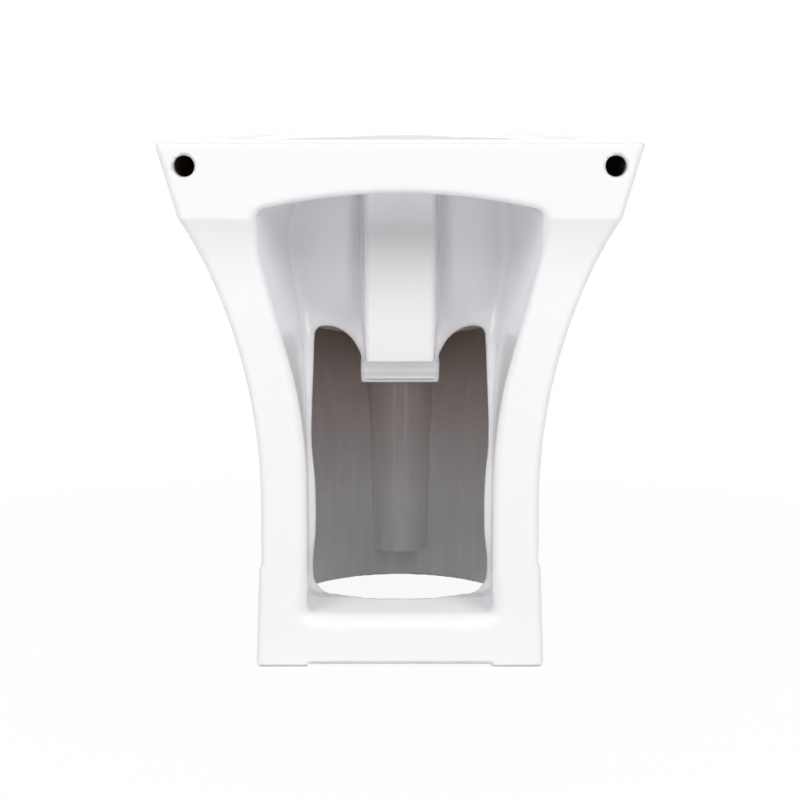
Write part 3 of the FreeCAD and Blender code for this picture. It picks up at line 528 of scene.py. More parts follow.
    def with_holes(self, form, x, d, z):
        """The body with its tap hole, outlet, vents, overflow, side screw holes and foot relief."""
        tap = np.maximum(self.upright(x, d, TAP_DEPTH, TAP_RADIUS), TAP_HOLE_FOOT_Z - z)
        form = cut(form, tap, TAP_EDGE)
        flange = np.maximum(self.upright(x, d, DRAIN_DEPTH, FLANGE_RADIUS), FLANGE_SEAT_Z - z)
        form = cut(form, np.maximum(flange, z - FLANGE_HOLE_TOP_Z), HOLE_EDGE)
        bore = self.upright(x, d, DRAIN_DEPTH, BOSS_BORE)
        form = cut(form, np.maximum(bore, np.abs(z - BORE_MIDDLE_Z) - BORE_HALF), HOLE_EDGE)
        vent = np.maximum(np.hypot(x - VENT_X, z - VENT_Z) - VENT_RADIUS, d - VENT_DEPTH)
        form = cut(form, vent, HOLE_EDGE)
        ring = np.hypot(x, z - OVERFLOW_Z)
        pipe = np.maximum(ring - OVERFLOW_RADIUS, np.maximum(CHANNEL_BACK - d, d - OVERFLOW_SPOT - WALL))
        pipe = np.minimum(pipe, self.channel(x, d, z))
        spot = np.maximum(OVERFLOW_SPOT - d, d - OVERFLOW_SPOT_END)
        spot = np.maximum(ring - OVERFLOW_SPOT_RADIUS, spot)
        form = cut(form, np.minimum(pipe, spot), SEAT_EDGE)
        side = np.hypot(d - SIDE_HOLE_DEPTH, z - SIDE_HOLE_Z)
        hole = np.maximum(side - SIDE_HOLE_RADIUS, SIDE_HOLE_X - x)
        seat = np.maximum(side - SIDE_SEAT_RADIUS, SIDE_SEAT_X - x)
        form = cut(form, np.minimum(hole, seat), SEAT_EDGE)
        relief = np.maximum(np.maximum(x - WINDOW_HALF, z - FOOT_RELIEF), d - LEG_SETBACK - 2 * WALL)
        return cut(form, relief, FOOT_RELIEF_EDGE)

    def inside(self, points):
        """How far a point belongs to the unseen inside of the pedestal, from 0 to 1."""
        x, d, z = np.abs(points[:, 0]), BACK_Y - points[:, 1], points[:, 2]
        within = smooth_step(-self.hollow(x, d, z), *INSIDE_FADE)
        apart = smooth_step(self.recess(x, d, z), *GLAZE_FADE)
        apart = apart * smooth_step(self.duct(x, d, z), *DUCT_FADE)
        return within * apart * smooth_step(self.basin(x, d, z, 0.0), *GLAZE_FADE)

    def at_points(self, points):
        return self.body(points[:, 0], BACK_Y - points[:, 1], points[:, 2])

    def normals(self, points):
        """Directions straight out of the form at points."""
        shifts = NORMAL_STEP * np.eye(3)
        parts = [self.at_points(points + shift) - self.at_points(points - shift) for shift in shifts]
        normal = np.stack(parts, axis=1)
        return normal / np.maximum(np.linalg.norm(normal, axis=1, keepdims=True), TINIEST)


def net_surface(field, low, cell):
    """Closed quads round the part of a grid that is below zero, with one point in each crossed cell."""
    inside = field < 0
    n = np.array(field.shape) - 1
    corners = [inside[i:i + n[0], j:j + n[1], k:k + n[2]] for i, j, k in itertools.product((0, 1), repeat=3)]
    count = sum(corner.astype(np.int8) for corner in corners)
    active = (count > 0) & (count < 8)
    cells = np.argwhere(active)
    number = np.full(active.shape, -1)
    number[active] = np.arange(len(cells))
    total = np.zeros((len(cells), 3))
    crossings = np.zeros(len(cells))
    unit = np.eye(3, dtype=int)
    for axis in range(3):
        u, v = [unit[i] for i in range(3) if i != axis]
        for a, b in itertools.product((0, 1), repeat=2):
            start = cells + a * u + b * v
            end = start + unit[axis]
            f0 = field[tuple(start.T)]
            f1 = field[tuple(end.T)]
            crossed = (f0 < 0) != (f1 < 0)
            share = np.where(crossed, f0 / np.where(crossed, f0 - f1, 1), 0)
            total += crossed[:, None] * (start + share[:, None] * unit[axis])
            crossings += crossed
    points = low + cell * total / crossings[:, None]
    quads = []
    for axis in range(3):
        others = [(axis + 1) % 3, (axis + 2) % 3]
        u, v = unit[others]
        first = np.take(inside, range(n[axis]), axis)
        second = np.take(inside, range(1, n[axis] + 1), axis)
        at = np.argwhere(first != second)
        at = at[np.all((at[:, others] > 0) & (at[:, others] < n[others]), axis=1)]
        ring = np.stack([number[tuple((at - s).T)] for s in (0 * u, u, u + v, v)], axis=1)
        leaving = first[tuple(at.T)]
        quads.append(np.where(leaving[:, None], ring, ring[:, ::-1]))
    return points, np.concatenate(quads)


def closed_surface(field, low, cell):
    """Quads as above, with spaces too thin for the grid filled until two faces meet at every edge."""
    for _ in range(FILL_ROUNDS):
        points, quads = net_surface(field, low, cell)
        edges = np.sort(np.concatenate([quads[:, [i, (i + 1) % 4]] for i in range(4)]), axis=1)
        pairs, uses = np.unique(edges, axis=0, return_counts=True)
        pinched = np.unique(pairs[uses != 2])
        if not len(pinched):
            break
        cells = np.floor((points[pinched] - low) / cell).astype(int)
        for corner in itertools.product((0, 1), repeat=3):
            at = tuple((cells + corner).T)
            field[at] = np.minimum(field[at], -cell / 4)
    return points, quads


def largest_part(points, quads):
    """The surface without the small closed bubbles that lie apart from it."""
    label = np.arange(len(points))
    while True:
        lowest = np.repeat(label[quads].min(axis=1), quads.shape[1])
        lower = label.copy()
        np.minimum.at(lower, quads.ravel(), lowest)
        lower = lower[lower]
        if np.array_equal(lower, label):
            break
        label = lower
    wanted = label == np.bincount(label).argmax()
    place = np.cumsum(wanted) - 1
    return points[wanted], place[quads[wanted[quads[:, 0]]]]


def settle(china, points, rounds, limit):
    """Points moved onto the surface along its slope."""
    for _ in range(rounds):
        step = china.at_points(points)[:, None] * china.normals(points)
        length = np.linalg.norm(step, axis=1, keepdims=True)
        points = points - step * np.minimum(1, limit / np.maximum(length, TINY))
    return points


def mesh_points(mesh):
    points = np.zeros(len(mesh.vertices) * 3)
    mesh.vertices.foreach_get("co", points)
    return points.reshape(-1, 3)


def evaluated_mesh(obj):
    """The object's mesh with its modifiers worked in, as a plain mesh."""
    return bpy.data.meshes.new_from_object(obj.evaluated_get(bpy.context.evaluated_depsgraph_get()))


def china_mesh(sizes):
    """Closed mesh of the china body, finest where it bends most."""
    china = China(sizes)
    low = np.array([-sizes.rim_width / 2, BACK_Y - sizes.length, 0]) - GRID_MARGIN * CELL
    high = np.array([sizes.rim_width / 2, BACK_Y, sizes.height]) + GRID_MARGIN * CELL
    axes = [np.arange(a, b, CELL) for a, b in zip(low, high)]
    x, y, z = np.meshgrid(*axes, indexing="ij", sparse=True)
    field = china.body(x, BACK_Y - y, z)
    points, quads = largest_part(*closed_surface(field, low, CELL))
    points = settle(china, points, rounds=3, limit=CELL / 2)
    mesh = bpy.data.meshes.new("china_fine")
    mesh.from_pydata(points, [], quads)
    fine = bpy.data.objects.new("china_fine", mesh)
    bpy.context.scene.collection.objects.link(fine)
    thin = fine.modifiers.new("thin_out", "DECIMATE")
    thin.ratio = TRIANGLES / (2 * len(quads))
    thinned = evaluated_mesh(fine)
    bpy.data.objects.remove(fine)
    bpy.data.meshes.remove(mesh)
    points = settle(china, mesh_points(thinned), rounds=2, limit=CELL / 4)
    thinned.vertices.foreach_set("co", points.ravel())
    return china, thinned


def measure(name, about, default):
    return bpy.props.FloatProperty(name=name, description=about, unit="LENGTH", default=default)


def power(name, about, default):
    return bpy.props.FloatProperty(name=name, description=about, unit="POWER", default=default)


def colour(name, about, default):
    return bpy.props.FloatVectorProperty(name=name, description=about, subtype="COLOR", size=4,
                                         min=0, max=1, default=(*default, 1))


class BidetSizes(bpy.types.PropertyGroup):
    """Main sizes of the china body, the tail's thread and the plug's spring."""
    height: measure("Height", "Floor to rim top", CAD_BOX[1][2])
    length: measure("Length", "Flat back to nose", CAD_BOX[1][1] - CAD_BOX[0][1])
    rim_width: measure("Rim width", "Across the rim top", CAD_BOX[1][0] - CAD_BOX[0][0])
    thread_pitch: measure("Thread pitch", "Pitch of the waste's tail thread", 0.0023)
    thread_height: measure("Thread height", "Height of a thread ridge", 0.0004)
    spring_wire: measure("Spring wire", "Radius of the plug spring's wire", 0.0005)
    spring_turns: bpy.props.FloatProperty(name="Spring turns", description="Turns of the plug's spring",
                                          default=5.0)


class BidetFinishes(bpy.types.PropertyGroup):
    """Colours of the finishes, with painted shade in the two upper inside colours."""
    glaze: colour("Glaze", "White gloss glaze", (0.925, 0.918, 0.940))
    biscuit: colour("Biscuit", "Unglazed china on the foot ring", (0.74, 0.68, 0.60))
    inside: colour("Inside", "Thinly glazed inside of the pedestal", (0.895, 0.885, 0.905))
    inside_foot: colour("Inside foot", "Inside of the pedestal near the floor", (0.85, 0.838, 0.86))
    # Painted shade: the two upper inside colours, darker and warmer towards the top under the bowl
    inside_top_shade: colour("Inside top", "Clay higher up inside the pedestal", (0.79, 0.695, 0.665))
    under_bowl_shade: colour("Inside deep", "Clay under the bowl", (0.52, 0.42, 0.36))
    chrome: colour("Chrome", "Polished chrome plate", (0.80, 0.81, 0.82))
    brass: colour("Brass", "Turned brass", (0.72, 0.53, 0.26))
    rubber: colour("Rubber", "Moulded rubber seals", (0.035, 0.034, 0.033))
    grey_plastic: colour("Grey plastic", "Cartridge and sleeves", (0.55, 0.56, 0.57))
    white_plastic: colour("White plastic", "Screw caps", (0.88, 0.88, 0.87))
    zinc: colour("Zinc", "Zinc-plated steel", (0.62, 0.63, 0.65))
    spring: colour("Spring", "Drawn spring wire", (0.45, 0.45, 0.46))


class BidetStage(bpy.types.PropertyGroup):
    """Camera and light of the studio."""
    camera_place: bpy.props.FloatVectorProperty(name="Camera", description="Place of the camera",
                                                subtype="TRANSLATION", unit="LENGTH", size=3,
                                                default=(0.0, 1.775, 0.4225))
    camera_tilt: bpy.props.FloatProperty(name="Tilt", description="Camera's turn from straight down",
                                         subtype="ANGLE", unit="ROTATION", default=math.radians(81.883))
    lens: bpy.props.FloatProperty(name="Lens", description="Focal length in millimetres", unit="CAMERA",
                                  default=91.33)
    ambient: bpy.props.FloatProperty(name="Ambient", description="Strength of the white surroundings",
                                     default=0.07)
    box: power("Box", "Power of each large box light beside the camera", 58.5)
    key: power("Key", "Power of the wide light behind the camera", 26.5)
    far: power("Far", "Power of the light beyond the front", 33.0)
    floor: colour("Floor", "Pale studio floor", (0.9, 0.9, 0.9))


def new_material(name):
    material = bpy.data.materials.new(name)
    material.use_nodes = True
    return material, material.node_tree.nodes, material.node_tree.links


def add_node(nodes, kind, **sockets):
    """A node with its inputs set by name."""
    node = nodes.new(kind)
    for name, value in sockets.items():
        node.inputs[name.replace("_", " ")].default_value = value
    return node


def feed(links, source, socket):
    """A socket joined to another node's output, or set to a plain value."""
    if isinstance(source, bpy.types.NodeSocket):
        links.new(source, socket)
    else:
        socket.default_value = source


def maths(nodes, links, operation, *sources):
    node = nodes.new("ShaderNodeMath")
    node.operation = operation
    for source, socket in zip(sources, node.inputs):
        feed(links, source, socket)
    return node.outputs["Value"]


def mixed(nodes, links, factor, first, second, blend="MIX"):
    """Two colours mixed by a factor."""
    node = nodes.new("ShaderNodeMix")
    node.data_type = "RGBA"
    node.blend_type = blend
    for source, name in ((factor, "Factor"), (first, "A"), (second, "B")):
        feed(links, source, node.inputs[name])
    return node.outputs["Result"]


def shade_group(name, inputs, outputs):
    """An empty shader group with named sockets; a plain number makes a value socket and a tuple a colour."""
    group = bpy.data.node_groups.new(name, "ShaderNodeTree")
    for label, default in inputs.items():
        kind = "NodeSocketColor" if isinstance(default, tuple) else "NodeSocketFloat"
        group.interface.new_socket(label, in_out="INPUT", socket_type=kind).default_value = default
    for label, kind in outputs.items():
        group.interface.new_socket(label, in_out="OUTPUT", socket_type=kind)
    return group, group.nodes.new("NodeGroupInput"), group.nodes.new("NodeGroupOutput")


def mottle_group():
    """Cloudy variation of a colour and of a roughness, with fine specks, over object space."""
    if "mottle" in bpy.data.node_groups:
        return bpy.data.node_groups["mottle"]
    group, given, out = shade_group(
        "mottle",
        {"Colour": WHITE, "Cloud Scale": 9.0, "Cloud Depth": 0.03, "Speck Scale": 500.0,
         "Speck Depth": 0.05, "Roughness": 0.1, "Roughness Spread": 0.04},
        {"Colour": "NodeSocketColor", "Roughness": "NodeSocketFloat", "Grain": "NodeSocketFloat"})
    nodes, links = group.nodes, group.links
    where = nodes.new("ShaderNodeTexCoord")
    cloud = add_node(nodes, "ShaderNodeTexNoise", Detail=4.0, Roughness=0.55)
    grain = add_node(nodes, "ShaderNodeTexNoise", Detail=3.0, Roughness=0.6)
    for noise, scale in ((cloud, "Cloud Scale"), (grain, "Speck Scale")):
        links.new(where.outputs["Object"], noise.inputs["Vector"])
        links.new(given.outputs[scale], noise.inputs["Scale"])
    speck = add_node(nodes, "ShaderNodeMapRange", From_Min=0.66, From_Max=0.74)
    links.new(grain.outputs["Fac"], speck.inputs["Value"])
    speckle = maths(nodes, links, "MULTIPLY", speck.outputs["Result"], given.outputs["Speck Depth"])
    dim = maths(nodes, links, "MULTIPLY_ADD", cloud.outputs["Fac"], given.outputs["Cloud Depth"], speckle)
    rough = maths(nodes, links, "MULTIPLY_ADD", cloud.outputs["Fac"], given.outputs["Roughness Spread"],
                  given.outputs["Roughness"])
    links.new(mixed(nodes, links, dim, given.outputs["Colour"], BLACK), out.inputs["Colour"])
    links.new(rough, out.inputs["Roughness"])
    links.new(grain.outputs["Fac"], out.inputs["Grain"])
    return group


def mottled(nodes, links, shader, tint, **values):
    """The mottle group placed in a material and joined to its shader."""
    node = nodes.new("ShaderNodeGroup")
    node.node_tree = mottle_group()
    node.inputs["Colour"].default_value = tint
    for name, value in values.items():
        node.inputs[name.replace("_", " ")].default_value = value
    links.new(node.outputs["Colour"], shader.inputs["Base Color"])
    links.new(node.outputs["Roughness"], shader.inputs["Roughness"])
    return node


def bumped(nodes, links, shader, height, strength, distance):
    bump = add_node(nodes, "ShaderNodeBump", Strength=strength, Distance=distance)
    links.new(height, bump.inputs["Height"])
    links.new(bump.outputs["Normal"], shader.inputs["Normal"])
    return bump


def glaze_material(finish):
    """White gloss glaze that gives way to a thinly glazed inside of the pedestal, darker and warmer towards
    the top as painted shade under the bowl and crossed by painted highlight streaks, and is bare on the foot
    ring.
    """
    material, nodes, links = new_material("white_glaze")
    shader = nodes["Principled BSDF"]
    base = mottled(nodes, links, shader, finish.glaze, Cloud_Scale=7.0, Cloud_Depth=0.02,
                   Speck_Scale=700.0, Speck_Depth=0.03, Roughness=0.16, Roughness_Spread=0.06)
    where = nodes.new("ShaderNodeTexCoord")
    split = nodes.new("ShaderNodeSeparateXYZ")
    links.new(where.outputs["Object"], split.inputs["Vector"])
    ring = add_node(nodes, "ShaderNodeMapRange", From_Min=BARE_END_Z, From_Max=BARE_FULL_Z)
    links.new(split.outputs["Z"], ring.inputs["Value"])
    inside = nodes.new("ShaderNodeAttribute")
    inside.attribute_name = "inside"
    # Inside colour by height: a little darker near the floor, then darker and warmer towards the top as
    # painted shade under the bowl
    clay_and_shade = nodes.new("ShaderNodeValToRGB")
    stops = clay_and_shade.color_ramp.elements
    stops[0].position, stops[0].color = CLAY_FOOT_Z, finish.inside_foot
    stops[1].position, stops[1].color = UNDER_BOWL_SHADE_Z, finish.under_bowl_shade
    for height, tint in ((CLAY_Z, finish.inside), (CLAY_SHADE_Z, finish.inside_top_shade)):
        stops.new(height).color = tint
    links.new(split.outputs["Z"], clay_and_shade.inputs["Fac"])
    # Vertical bands that lighten and darken the inside colour: painted highlight streaks
    stretch = add_node(nodes, "ShaderNodeMapping", Scale=SHEEN_STREAK_STRETCH)
    links.new(where.outputs["Object"], stretch.inputs["Vector"])
    sheen_runs = add_node(nodes, "ShaderNodeTexNoise", Scale=150.0, Detail=2.0, Roughness=0.5)
    links.new(stretch.outputs["Vector"], sheen_runs.inputs["Vector"])
    sheen_streak = add_node(nodes, "ShaderNodeMapRange", From_Min=0.35, From_Max=0.75, To_Min=0.965, To_Max=1.06)
    links.new(sheen_runs.outputs["Fac"], sheen_streak.inputs["Value"])
    clay_shade_and_sheen = mixed(nodes, links, 1.0, clay_and_shade.outputs["Color"], sheen_streak.outputs["Result"], "MULTIPLY")
    inner = mixed(nodes, links, inside.outputs["Fac"], base.outputs["Colour"], clay_shade_and_sheen)
    tint = mixed(nodes, links, ring.outputs["Result"], inner, finish.biscuit)
    links.new(tint, shader.inputs["Base Color"])
    matt = maths(nodes, links, "MAXIMUM", inside.outputs["Fac"], ring.outputs["Result"])
    rough = maths(nodes, links, "MULTIPLY_ADD", matt, CLAY_ROUGHNESS, base.outputs["Roughness"])
    links.new(rough, shader.inputs["Roughness"])
    peel = add_node(nodes, "ShaderNodeTexNoise", Scale=70.0, Detail=2.0, Roughness=0.5)
    links.new(where.outputs["Object"], peel.inputs["Vector"])
    bumped(nodes, links, shader, peel.outputs["Fac"], strength=0.04, distance=0.001)
    return material


def metal_material(name, tint, roughness, spread, clouds, specks, bump):
    """Metal with cloudy polish and a fine grain."""
    material, nodes, links = new_material(name)
    shader = nodes["Principled BSDF"]
    shader.inputs["Metallic"].default_value = 1.0
    base = mottled(nodes, links, shader, tint, Cloud_Scale=clouds, Cloud_Depth=0.10, Speck_Scale=specks,
                   Speck_Depth=0.08, Roughness=roughness, Roughness_Spread=spread)
    bumped(nodes, links, shader, base.outputs["Grain"], strength=bump, distance=0.0004)
    return material


def moulded_material(name, tint, roughness, specks, bump):
    """Moulded rubber or plastic with a fine moulded grain."""
    material, nodes, links = new_material(name)
    shader = nodes["Principled BSDF"]
    base = mottled(nodes, links, shader, tint, Cloud_Scale=40.0, Cloud_Depth=0.12, Speck_Scale=specks,
                   Speck_Depth=0.10, Roughness=roughness, Roughness_Spread=0.12)
    bumped(nodes, links, shader, base.outputs["Grain"], strength=bump, distance=0.0003)
    return material


def dress(node, material):
    """A CAD node shown in a finish."""
    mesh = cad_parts[node].data
    mesh.materials.clear()
    mesh.materials.append(material)


def both_sides(*names):
    return [name + side for name in names for side in ("_right", "_left")]


def geometry_tree(name, inputs):
    """An empty geometry node tree that takes named sizes and a finish."""
    tree = bpy.data.node_groups.new(name, "GeometryNodeTree")
    for label, kind in inputs.items():
        tree.interface.new_socket(label, in_out="INPUT", socket_type=kind)
    tree.interface.new_socket("Geometry", in_out="OUTPUT", socket_type="NodeSocketGeometry")
    return tree, tree.nodes.new("NodeGroupInput"), tree.nodes.new("NodeGroupOutput")


def coil_tree():
    """A wire wound along a helix."""
    if "coil" in bpy.data.node_groups:
        return bpy.data.node_groups["coil"]
    tree, given, out = geometry_tree("coil", {
        "Radius": "NodeSocketFloat", "Length": "NodeSocketFloat", "Turns": "NodeSocketFloat",
        "Wire": "NodeSocketFloat", "Sides": "NodeSocketInt", "Finish": "NodeSocketMaterial"})
    nodes, links = tree.nodes, tree.links
    helix = nodes.new("GeometryNodeCurveSpiral")
    helix.inputs["Resolution"].default_value = 64
    for socket in ("Start Radius", "End Radius"):
        links.new(given.outputs["Radius"], helix.inputs[socket])
    links.new(given.outputs["Length"], helix.inputs["Height"])
    links.new(given.outputs["Turns"], helix.inputs["Rotations"])
    wire = nodes.new("GeometryNodeCurvePrimitiveCircle")
    links.new(given.outputs["Sides"], wire.inputs["Resolution"])
    links.new(given.outputs["Wire"], wire.inputs["Radius"])
    sweep = nodes.new("GeometryNodeCurveToMesh")
    sweep.inputs["Fill Caps"].default_value = True
    links.new(helix.outputs["Curve"], sweep.inputs["Curve"])
    links.new(wire.outputs["Curve"], sweep.inputs["Profile Curve"])
    real = nodes.new("GeometryNodeRealizeInstances")
    links.new(sweep.outputs["Mesh"], real.inputs["Geometry"])
    finish = nodes.new("GeometryNodeSetMaterial")
    links.new(real.outputs["Geometry"], finish.inputs["Geometry"])
    links.new(given.outputs["Finish"], finish.inputs["Material"])
    links.new(finish.outputs["Geometry"], out.inputs["Geometry"])
    return tree


def grown_mesh(name, tree, values):
    """The plain mesh that a geometry node tree makes from named values."""
    holder = bpy.data.objects.new(name, bpy.data.meshes.new(name))
    bpy.context.scene.collection.objects.link(holder)
    modifier = holder.modifiers.new("grow", "NODES")
    modifier.node_group = tree
    for item in tree.interface.items_tree:
        if item.in_out == "INPUT" and item.name in values:
            modifier[item.identifier] = values[item.name]
    mesh = evaluated_mesh(holder)
    bpy.data.objects.remove(holder)
    return mesh


def new_piece(name, mesh):
    mesh.name = name
    piece = bpy.data.objects.new(name, mesh)
    bpy.context.scene.collection.objects.link(piece)
    return piece


def wound_piece(name, foot, **values):
    """A wire wound upwards round the point in the middle of its foot."""
    mesh = grown_mesh(name, coil_tree(), values)
    for vertex in mesh.vertices:
        vertex.co += foot
    return new_piece(name, mesh)


class BIDET_OT_china(bpy.types.Operator):
    """Makes the china body with its rounded, glazed edges"""
    bl_idname = "bidet.china"
    bl_label = "China body"

    def execute(self, context):
        scene = context.scene
        china, mesh = china_mesh(scene.bidet_sizes)
        points = mesh_points(mesh)
        inside = mesh.attributes.new("inside", "FLOAT", "POINT")
        inside.data.foreach_set("value", china.inside(points))
        mesh.shade_smooth()
        own = np.zeros(len(mesh.vertices) * 3)
        mesh.vertex_normals.foreach_get("vector", own)
        own = own.reshape(-1, 3)
        normals = china.normals(points)
        agree = (own * normals).sum(axis=1, keepdims=True) > NORMALS_AGREE
        mesh.normals_split_custom_set_from_vertices(np.where(agree, normals, own))
        mesh.materials.append(glaze_material(scene.bidet_finishes))
        piece = new_piece("china_body", mesh)
        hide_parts("pedestal_casting", "rim_deck", "bowl_casting", "overflow_duct")
        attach(piece, "fixture")
        return {"FINISHED"}


class BIDET_OT_waste(bpy.types.Operator):
    """Finishes the waste, the plug and the overflow ring, and winds the thread and the spring"""
    bl_idname = "bidet.waste"
    bl_label = "Waste and plug"

    def execute(self, context):
        finish = context.scene.bidet_finishes
        sizes = context.scene.bidet_sizes
        chrome = metal_material("polished_chrome", finish.chrome, roughness=0.06, spread=0.06, clouds=30.0,
                                specks=900.0, bump=0.01)
        brass = metal_material("turned_brass", finish.brass, roughness=0.24, spread=0.12, clouds=60.0,
                               specks=1200.0, bump=0.04)
        spring = metal_material("spring_wire", finish.spring, roughness=0.30, spread=0.10, clouds=200.0,
                                specks=2000.0, bump=0.03)
        rubber = moulded_material("black_rubber", finish.rubber, roughness=0.55, specks=1500.0, bump=0.10)
        plastic = moulded_material("cartridge_plastic", finish.grey_plastic, roughness=0.38, specks=1400.0,
                                   bump=0.05)
        for node in ("overflow_ring", "waste_body", "plug_cap"):
            dress(node, chrome)
        for node in ("backnut", "plug_stem"):
            dress(node, brass)
        for node in ("flange_seal", "cone_seal", "plug_seal"):
            dress(node, rubber)
        dress("click_cartridge", plastic)
        self.thread(sizes, chrome)
        self.spring(sizes, spring)
        return {"FINISHED"}

    def thread(self, sizes, finish):
        """The thread on the free stretch of the tail."""
        low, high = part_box("waste_body")
        nut_low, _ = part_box("backnut")
        height = sizes.thread_height
        length = nut_low.z - low.z - THREAD_ENDS * height
        middle = (low + high) / 2
        piece = wound_piece("tail_thread", Vector((middle.x, middle.y, low.z + height)), Finish=finish,
                            Radius=TAIL_RADIUS, Length=length, Turns=length / sizes.thread_pitch,
                            Wire=height, Sides=6)
        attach(piece, "fixture")

    def spring(self, sizes, finish):
        """The spring under the stem, which the plug squeezes as it goes down; here it is wound at one
        length.
        """
        low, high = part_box("click_spring")
        wire = sizes.spring_wire
        middle = (low + high) / 2
        piece = wound_piece("plug_spring", Vector((middle.x, middle.y, low.z + wire)), Finish=finish,
                            Radius=(high.x - low.x) / 2 - wire, Length=high.z - low.z - 2 * wire,
                            Turns=sizes.spring_turns, Wire=wire, Sides=12)
        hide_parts("click_spring")
        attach(piece, "fixture")
        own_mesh(piece)


class BIDET_OT_fixings(bpy.types.Operator):
    """Finishes the floor brackets, screws, sleeves and caps"""
    bl_idname = "bidet.fixings"
    bl_label = "Floor fixings"

    def execute(self, context):
        finish = context.scene.bidet_finishes
        zinc = metal_material("zinc_plate", finish.zinc, roughness=0.32, spread=0.18, clouds=120.0,
                              specks=700.0, bump=0.05)
        sleeve = moulded_material("sleeve_plastic", finish.grey_plastic, roughness=0.40, specks=1300.0,
                                  bump=0.05)
        cap = moulded_material("cap_plastic", finish.white_plastic, roughness=0.22, specks=900.0, bump=0.03)
        for node in both_sides("floor_bracket", "bracket_nut", "side_screw"):
            dress(node, zinc)
        for node in both_sides("side_sleeve"):
            dress(node, sleeve)
        for node in both_sides("screw_cap"):
            dress(node, cap)
        return {"FINISHED"}


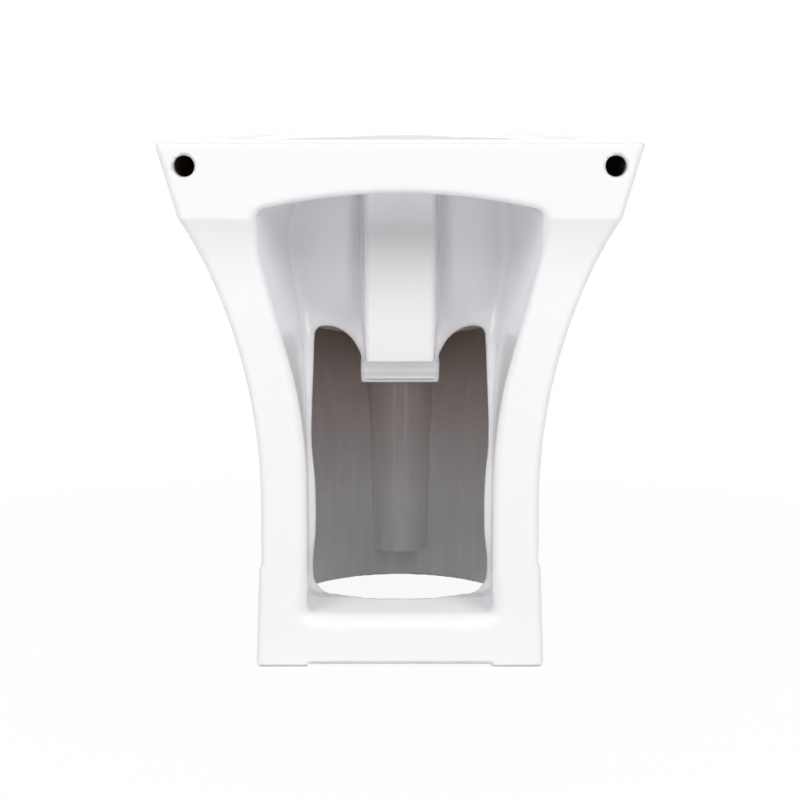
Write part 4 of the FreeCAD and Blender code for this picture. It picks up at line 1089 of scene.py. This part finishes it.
class BIDET_OT_stage(bpy.types.Operator):
    """Sets up the pale floor, the soft light and the camera"""
    bl_idname = "bidet.stage"
    bl_label = "Studio"

    def execute(self, context):
        scene = context.scene
        stage = scene.bidet_stage
        self.floor(stage)
        self.surroundings(scene, stage)
        self.lamp(scene, "key", stage.key, KEY_PLACE, KEY_SIZE)
        self.lamp(scene, "far", stage.far, FAR_PLACE, FAR_SIZE)
        aside, back, up = BOX_PLACE
        self.lamp(scene, "box_right", stage.box, (aside, back, up), BOX_SIZE)
        self.lamp(scene, "box_left", stage.box, (-aside, back, up), BOX_SIZE)
        camera = bpy.data.cameras.new("camera")
        camera.sensor_width = SENSOR_WIDTH
        camera.lens = stage.lens
        holder = bpy.data.objects.new("camera", camera)
        holder.location = stage.camera_place
        holder.rotation_euler = (stage.camera_tilt, 0.0, math.pi)
        scene.collection.objects.link(holder)
        scene.camera = holder
        scene.view_settings.view_transform = "Standard"
        return {"FINISHED"}

    def seen(self, nodes, links):
        """One where a ray comes straight from the camera or from a mirror, and nought for soft light."""
        path = nodes.new("ShaderNodeLightPath")
        found = path.outputs["Is Camera Ray"]
        for name in ("Is Glossy Ray", "Is Transmission Ray"):
            found = maths(nodes, links, "MAXIMUM", found, path.outputs[name])
        return found

    def floor(self, stage):
        """Flat floor that fades to plain white away from the object."""
        mesh = bpy.data.meshes.new("floor")
        corners = [(x * FLOOR_REACH, y * FLOOR_REACH, 0) for x, y in ((-1, -1), (1, -1), (1, 1), (-1, 1))]
        mesh.from_pydata(corners, [], [(0, 1, 2, 3)])
        material, nodes, links = new_material("studio_floor")
        shader = nodes["Principled BSDF"]
        shader.inputs["Base Color"].default_value = stage.floor
        shader.inputs["Roughness"].default_value = FLOOR_ROUGHNESS
        glow = add_node(nodes, "ShaderNodeEmission", Strength=1.0)
        where = nodes.new("ShaderNodeTexCoord")
        away = nodes.new("ShaderNodeVectorMath")
        away.operation = "LENGTH"
        links.new(where.outputs["Object"], away.inputs[0])
        white = add_node(nodes, "ShaderNodeMapRange", From_Min=0.25, From_Max=0.75, To_Min=0.93, To_Max=1.0)
        white.interpolation_type = "SMOOTHSTEP"
        links.new(away.outputs["Value"], white.inputs["Value"])
        share = maths(nodes, links, "MULTIPLY", self.seen(nodes, links), white.outputs["Result"])
        mix = nodes.new("ShaderNodeMixShader")
        links.new(share, mix.inputs["Fac"])
        links.new(shader.outputs["BSDF"], mix.inputs[1])
        links.new(glow.outputs["Emission"], mix.inputs[2])
        links.new(mix.outputs["Shader"], nodes["Material Output"].inputs["Surface"])
        mesh.materials.append(material)
        new_piece("floor", mesh)

    def surroundings(self, scene, stage):
        """Plain white to the eye, and dimmer as light on the object."""
        world = bpy.data.worlds.new("studio")
        scene.world = world
        world.use_nodes = True
        nodes, links = world.node_tree.nodes, world.node_tree.links
        soft = nodes["Background"]
        soft.inputs["Color"].default_value = WHITE
        soft.inputs["Strength"].default_value = stage.ambient
        white = add_node(nodes, "ShaderNodeBackground", Color=WHITE, Strength=1.0)
        mix = nodes.new("ShaderNodeMixShader")
        links.new(self.seen(nodes, links), mix.inputs["Fac"])
        links.new(soft.outputs["Background"], mix.inputs[1])
        links.new(white.outputs["Background"], mix.inputs[2])
        links.new(mix.outputs["Shader"], nodes["World Output"].inputs["Surface"])

    def lamp(self, scene, name, power, place, size):
        lamp = bpy.data.lights.new(name, "AREA")
        lamp.shape = "RECTANGLE"
        lamp.size, lamp.size_y = size
        lamp.energy = power
        holder = bpy.data.objects.new(name, lamp)
        holder.location = place
        holder.rotation_euler = (Vector(AIM) - holder.location).to_track_quat("-Z", "Y").to_euler()
        scene.collection.objects.link(holder)


class BIDET_PT_panel(bpy.types.Panel):
    """Lists the bidet's pieces and the studio"""
    bl_label = "Bidet"
    bl_idname = "BIDET_PT_panel"
    bl_space_type = "VIEW_3D"
    bl_region_type = "UI"
    bl_category = "Bidet"

    def draw(self, context):
        for maker in MAKERS:
            self.layout.operator(maker.bl_idname)
        for group in (context.scene.bidet_sizes, context.scene.bidet_finishes, context.scene.bidet_stage):
            for name in group.__annotations__:
                self.layout.prop(group, name)


MAKERS = (BIDET_OT_china, BIDET_OT_waste, BIDET_OT_fixings, BIDET_OT_stage)
GROUPS = {"bidet_sizes": BidetSizes, "bidet_finishes": BidetFinishes, "bidet_stage": BidetStage}
CLASSES = (*GROUPS.values(), *MAKERS, BIDET_PT_panel)


def register():
    for item in CLASSES:
        bpy.utils.register_class(item)
    for name, group in GROUPS.items():
        setattr(bpy.types.Scene, name, bpy.props.PointerProperty(type=group))


def unregister():
    for name in GROUPS:
        delattr(bpy.types.Scene, name)
    for item in reversed(CLASSES):
        bpy.utils.unregister_class(item)


def main():
    register()
    bpy.ops.bidet.china()
    bpy.ops.bidet.waste()
    bpy.ops.bidet.fixings()
    bpy.ops.bidet.stage()


if __name__ == "__main__":
    main()
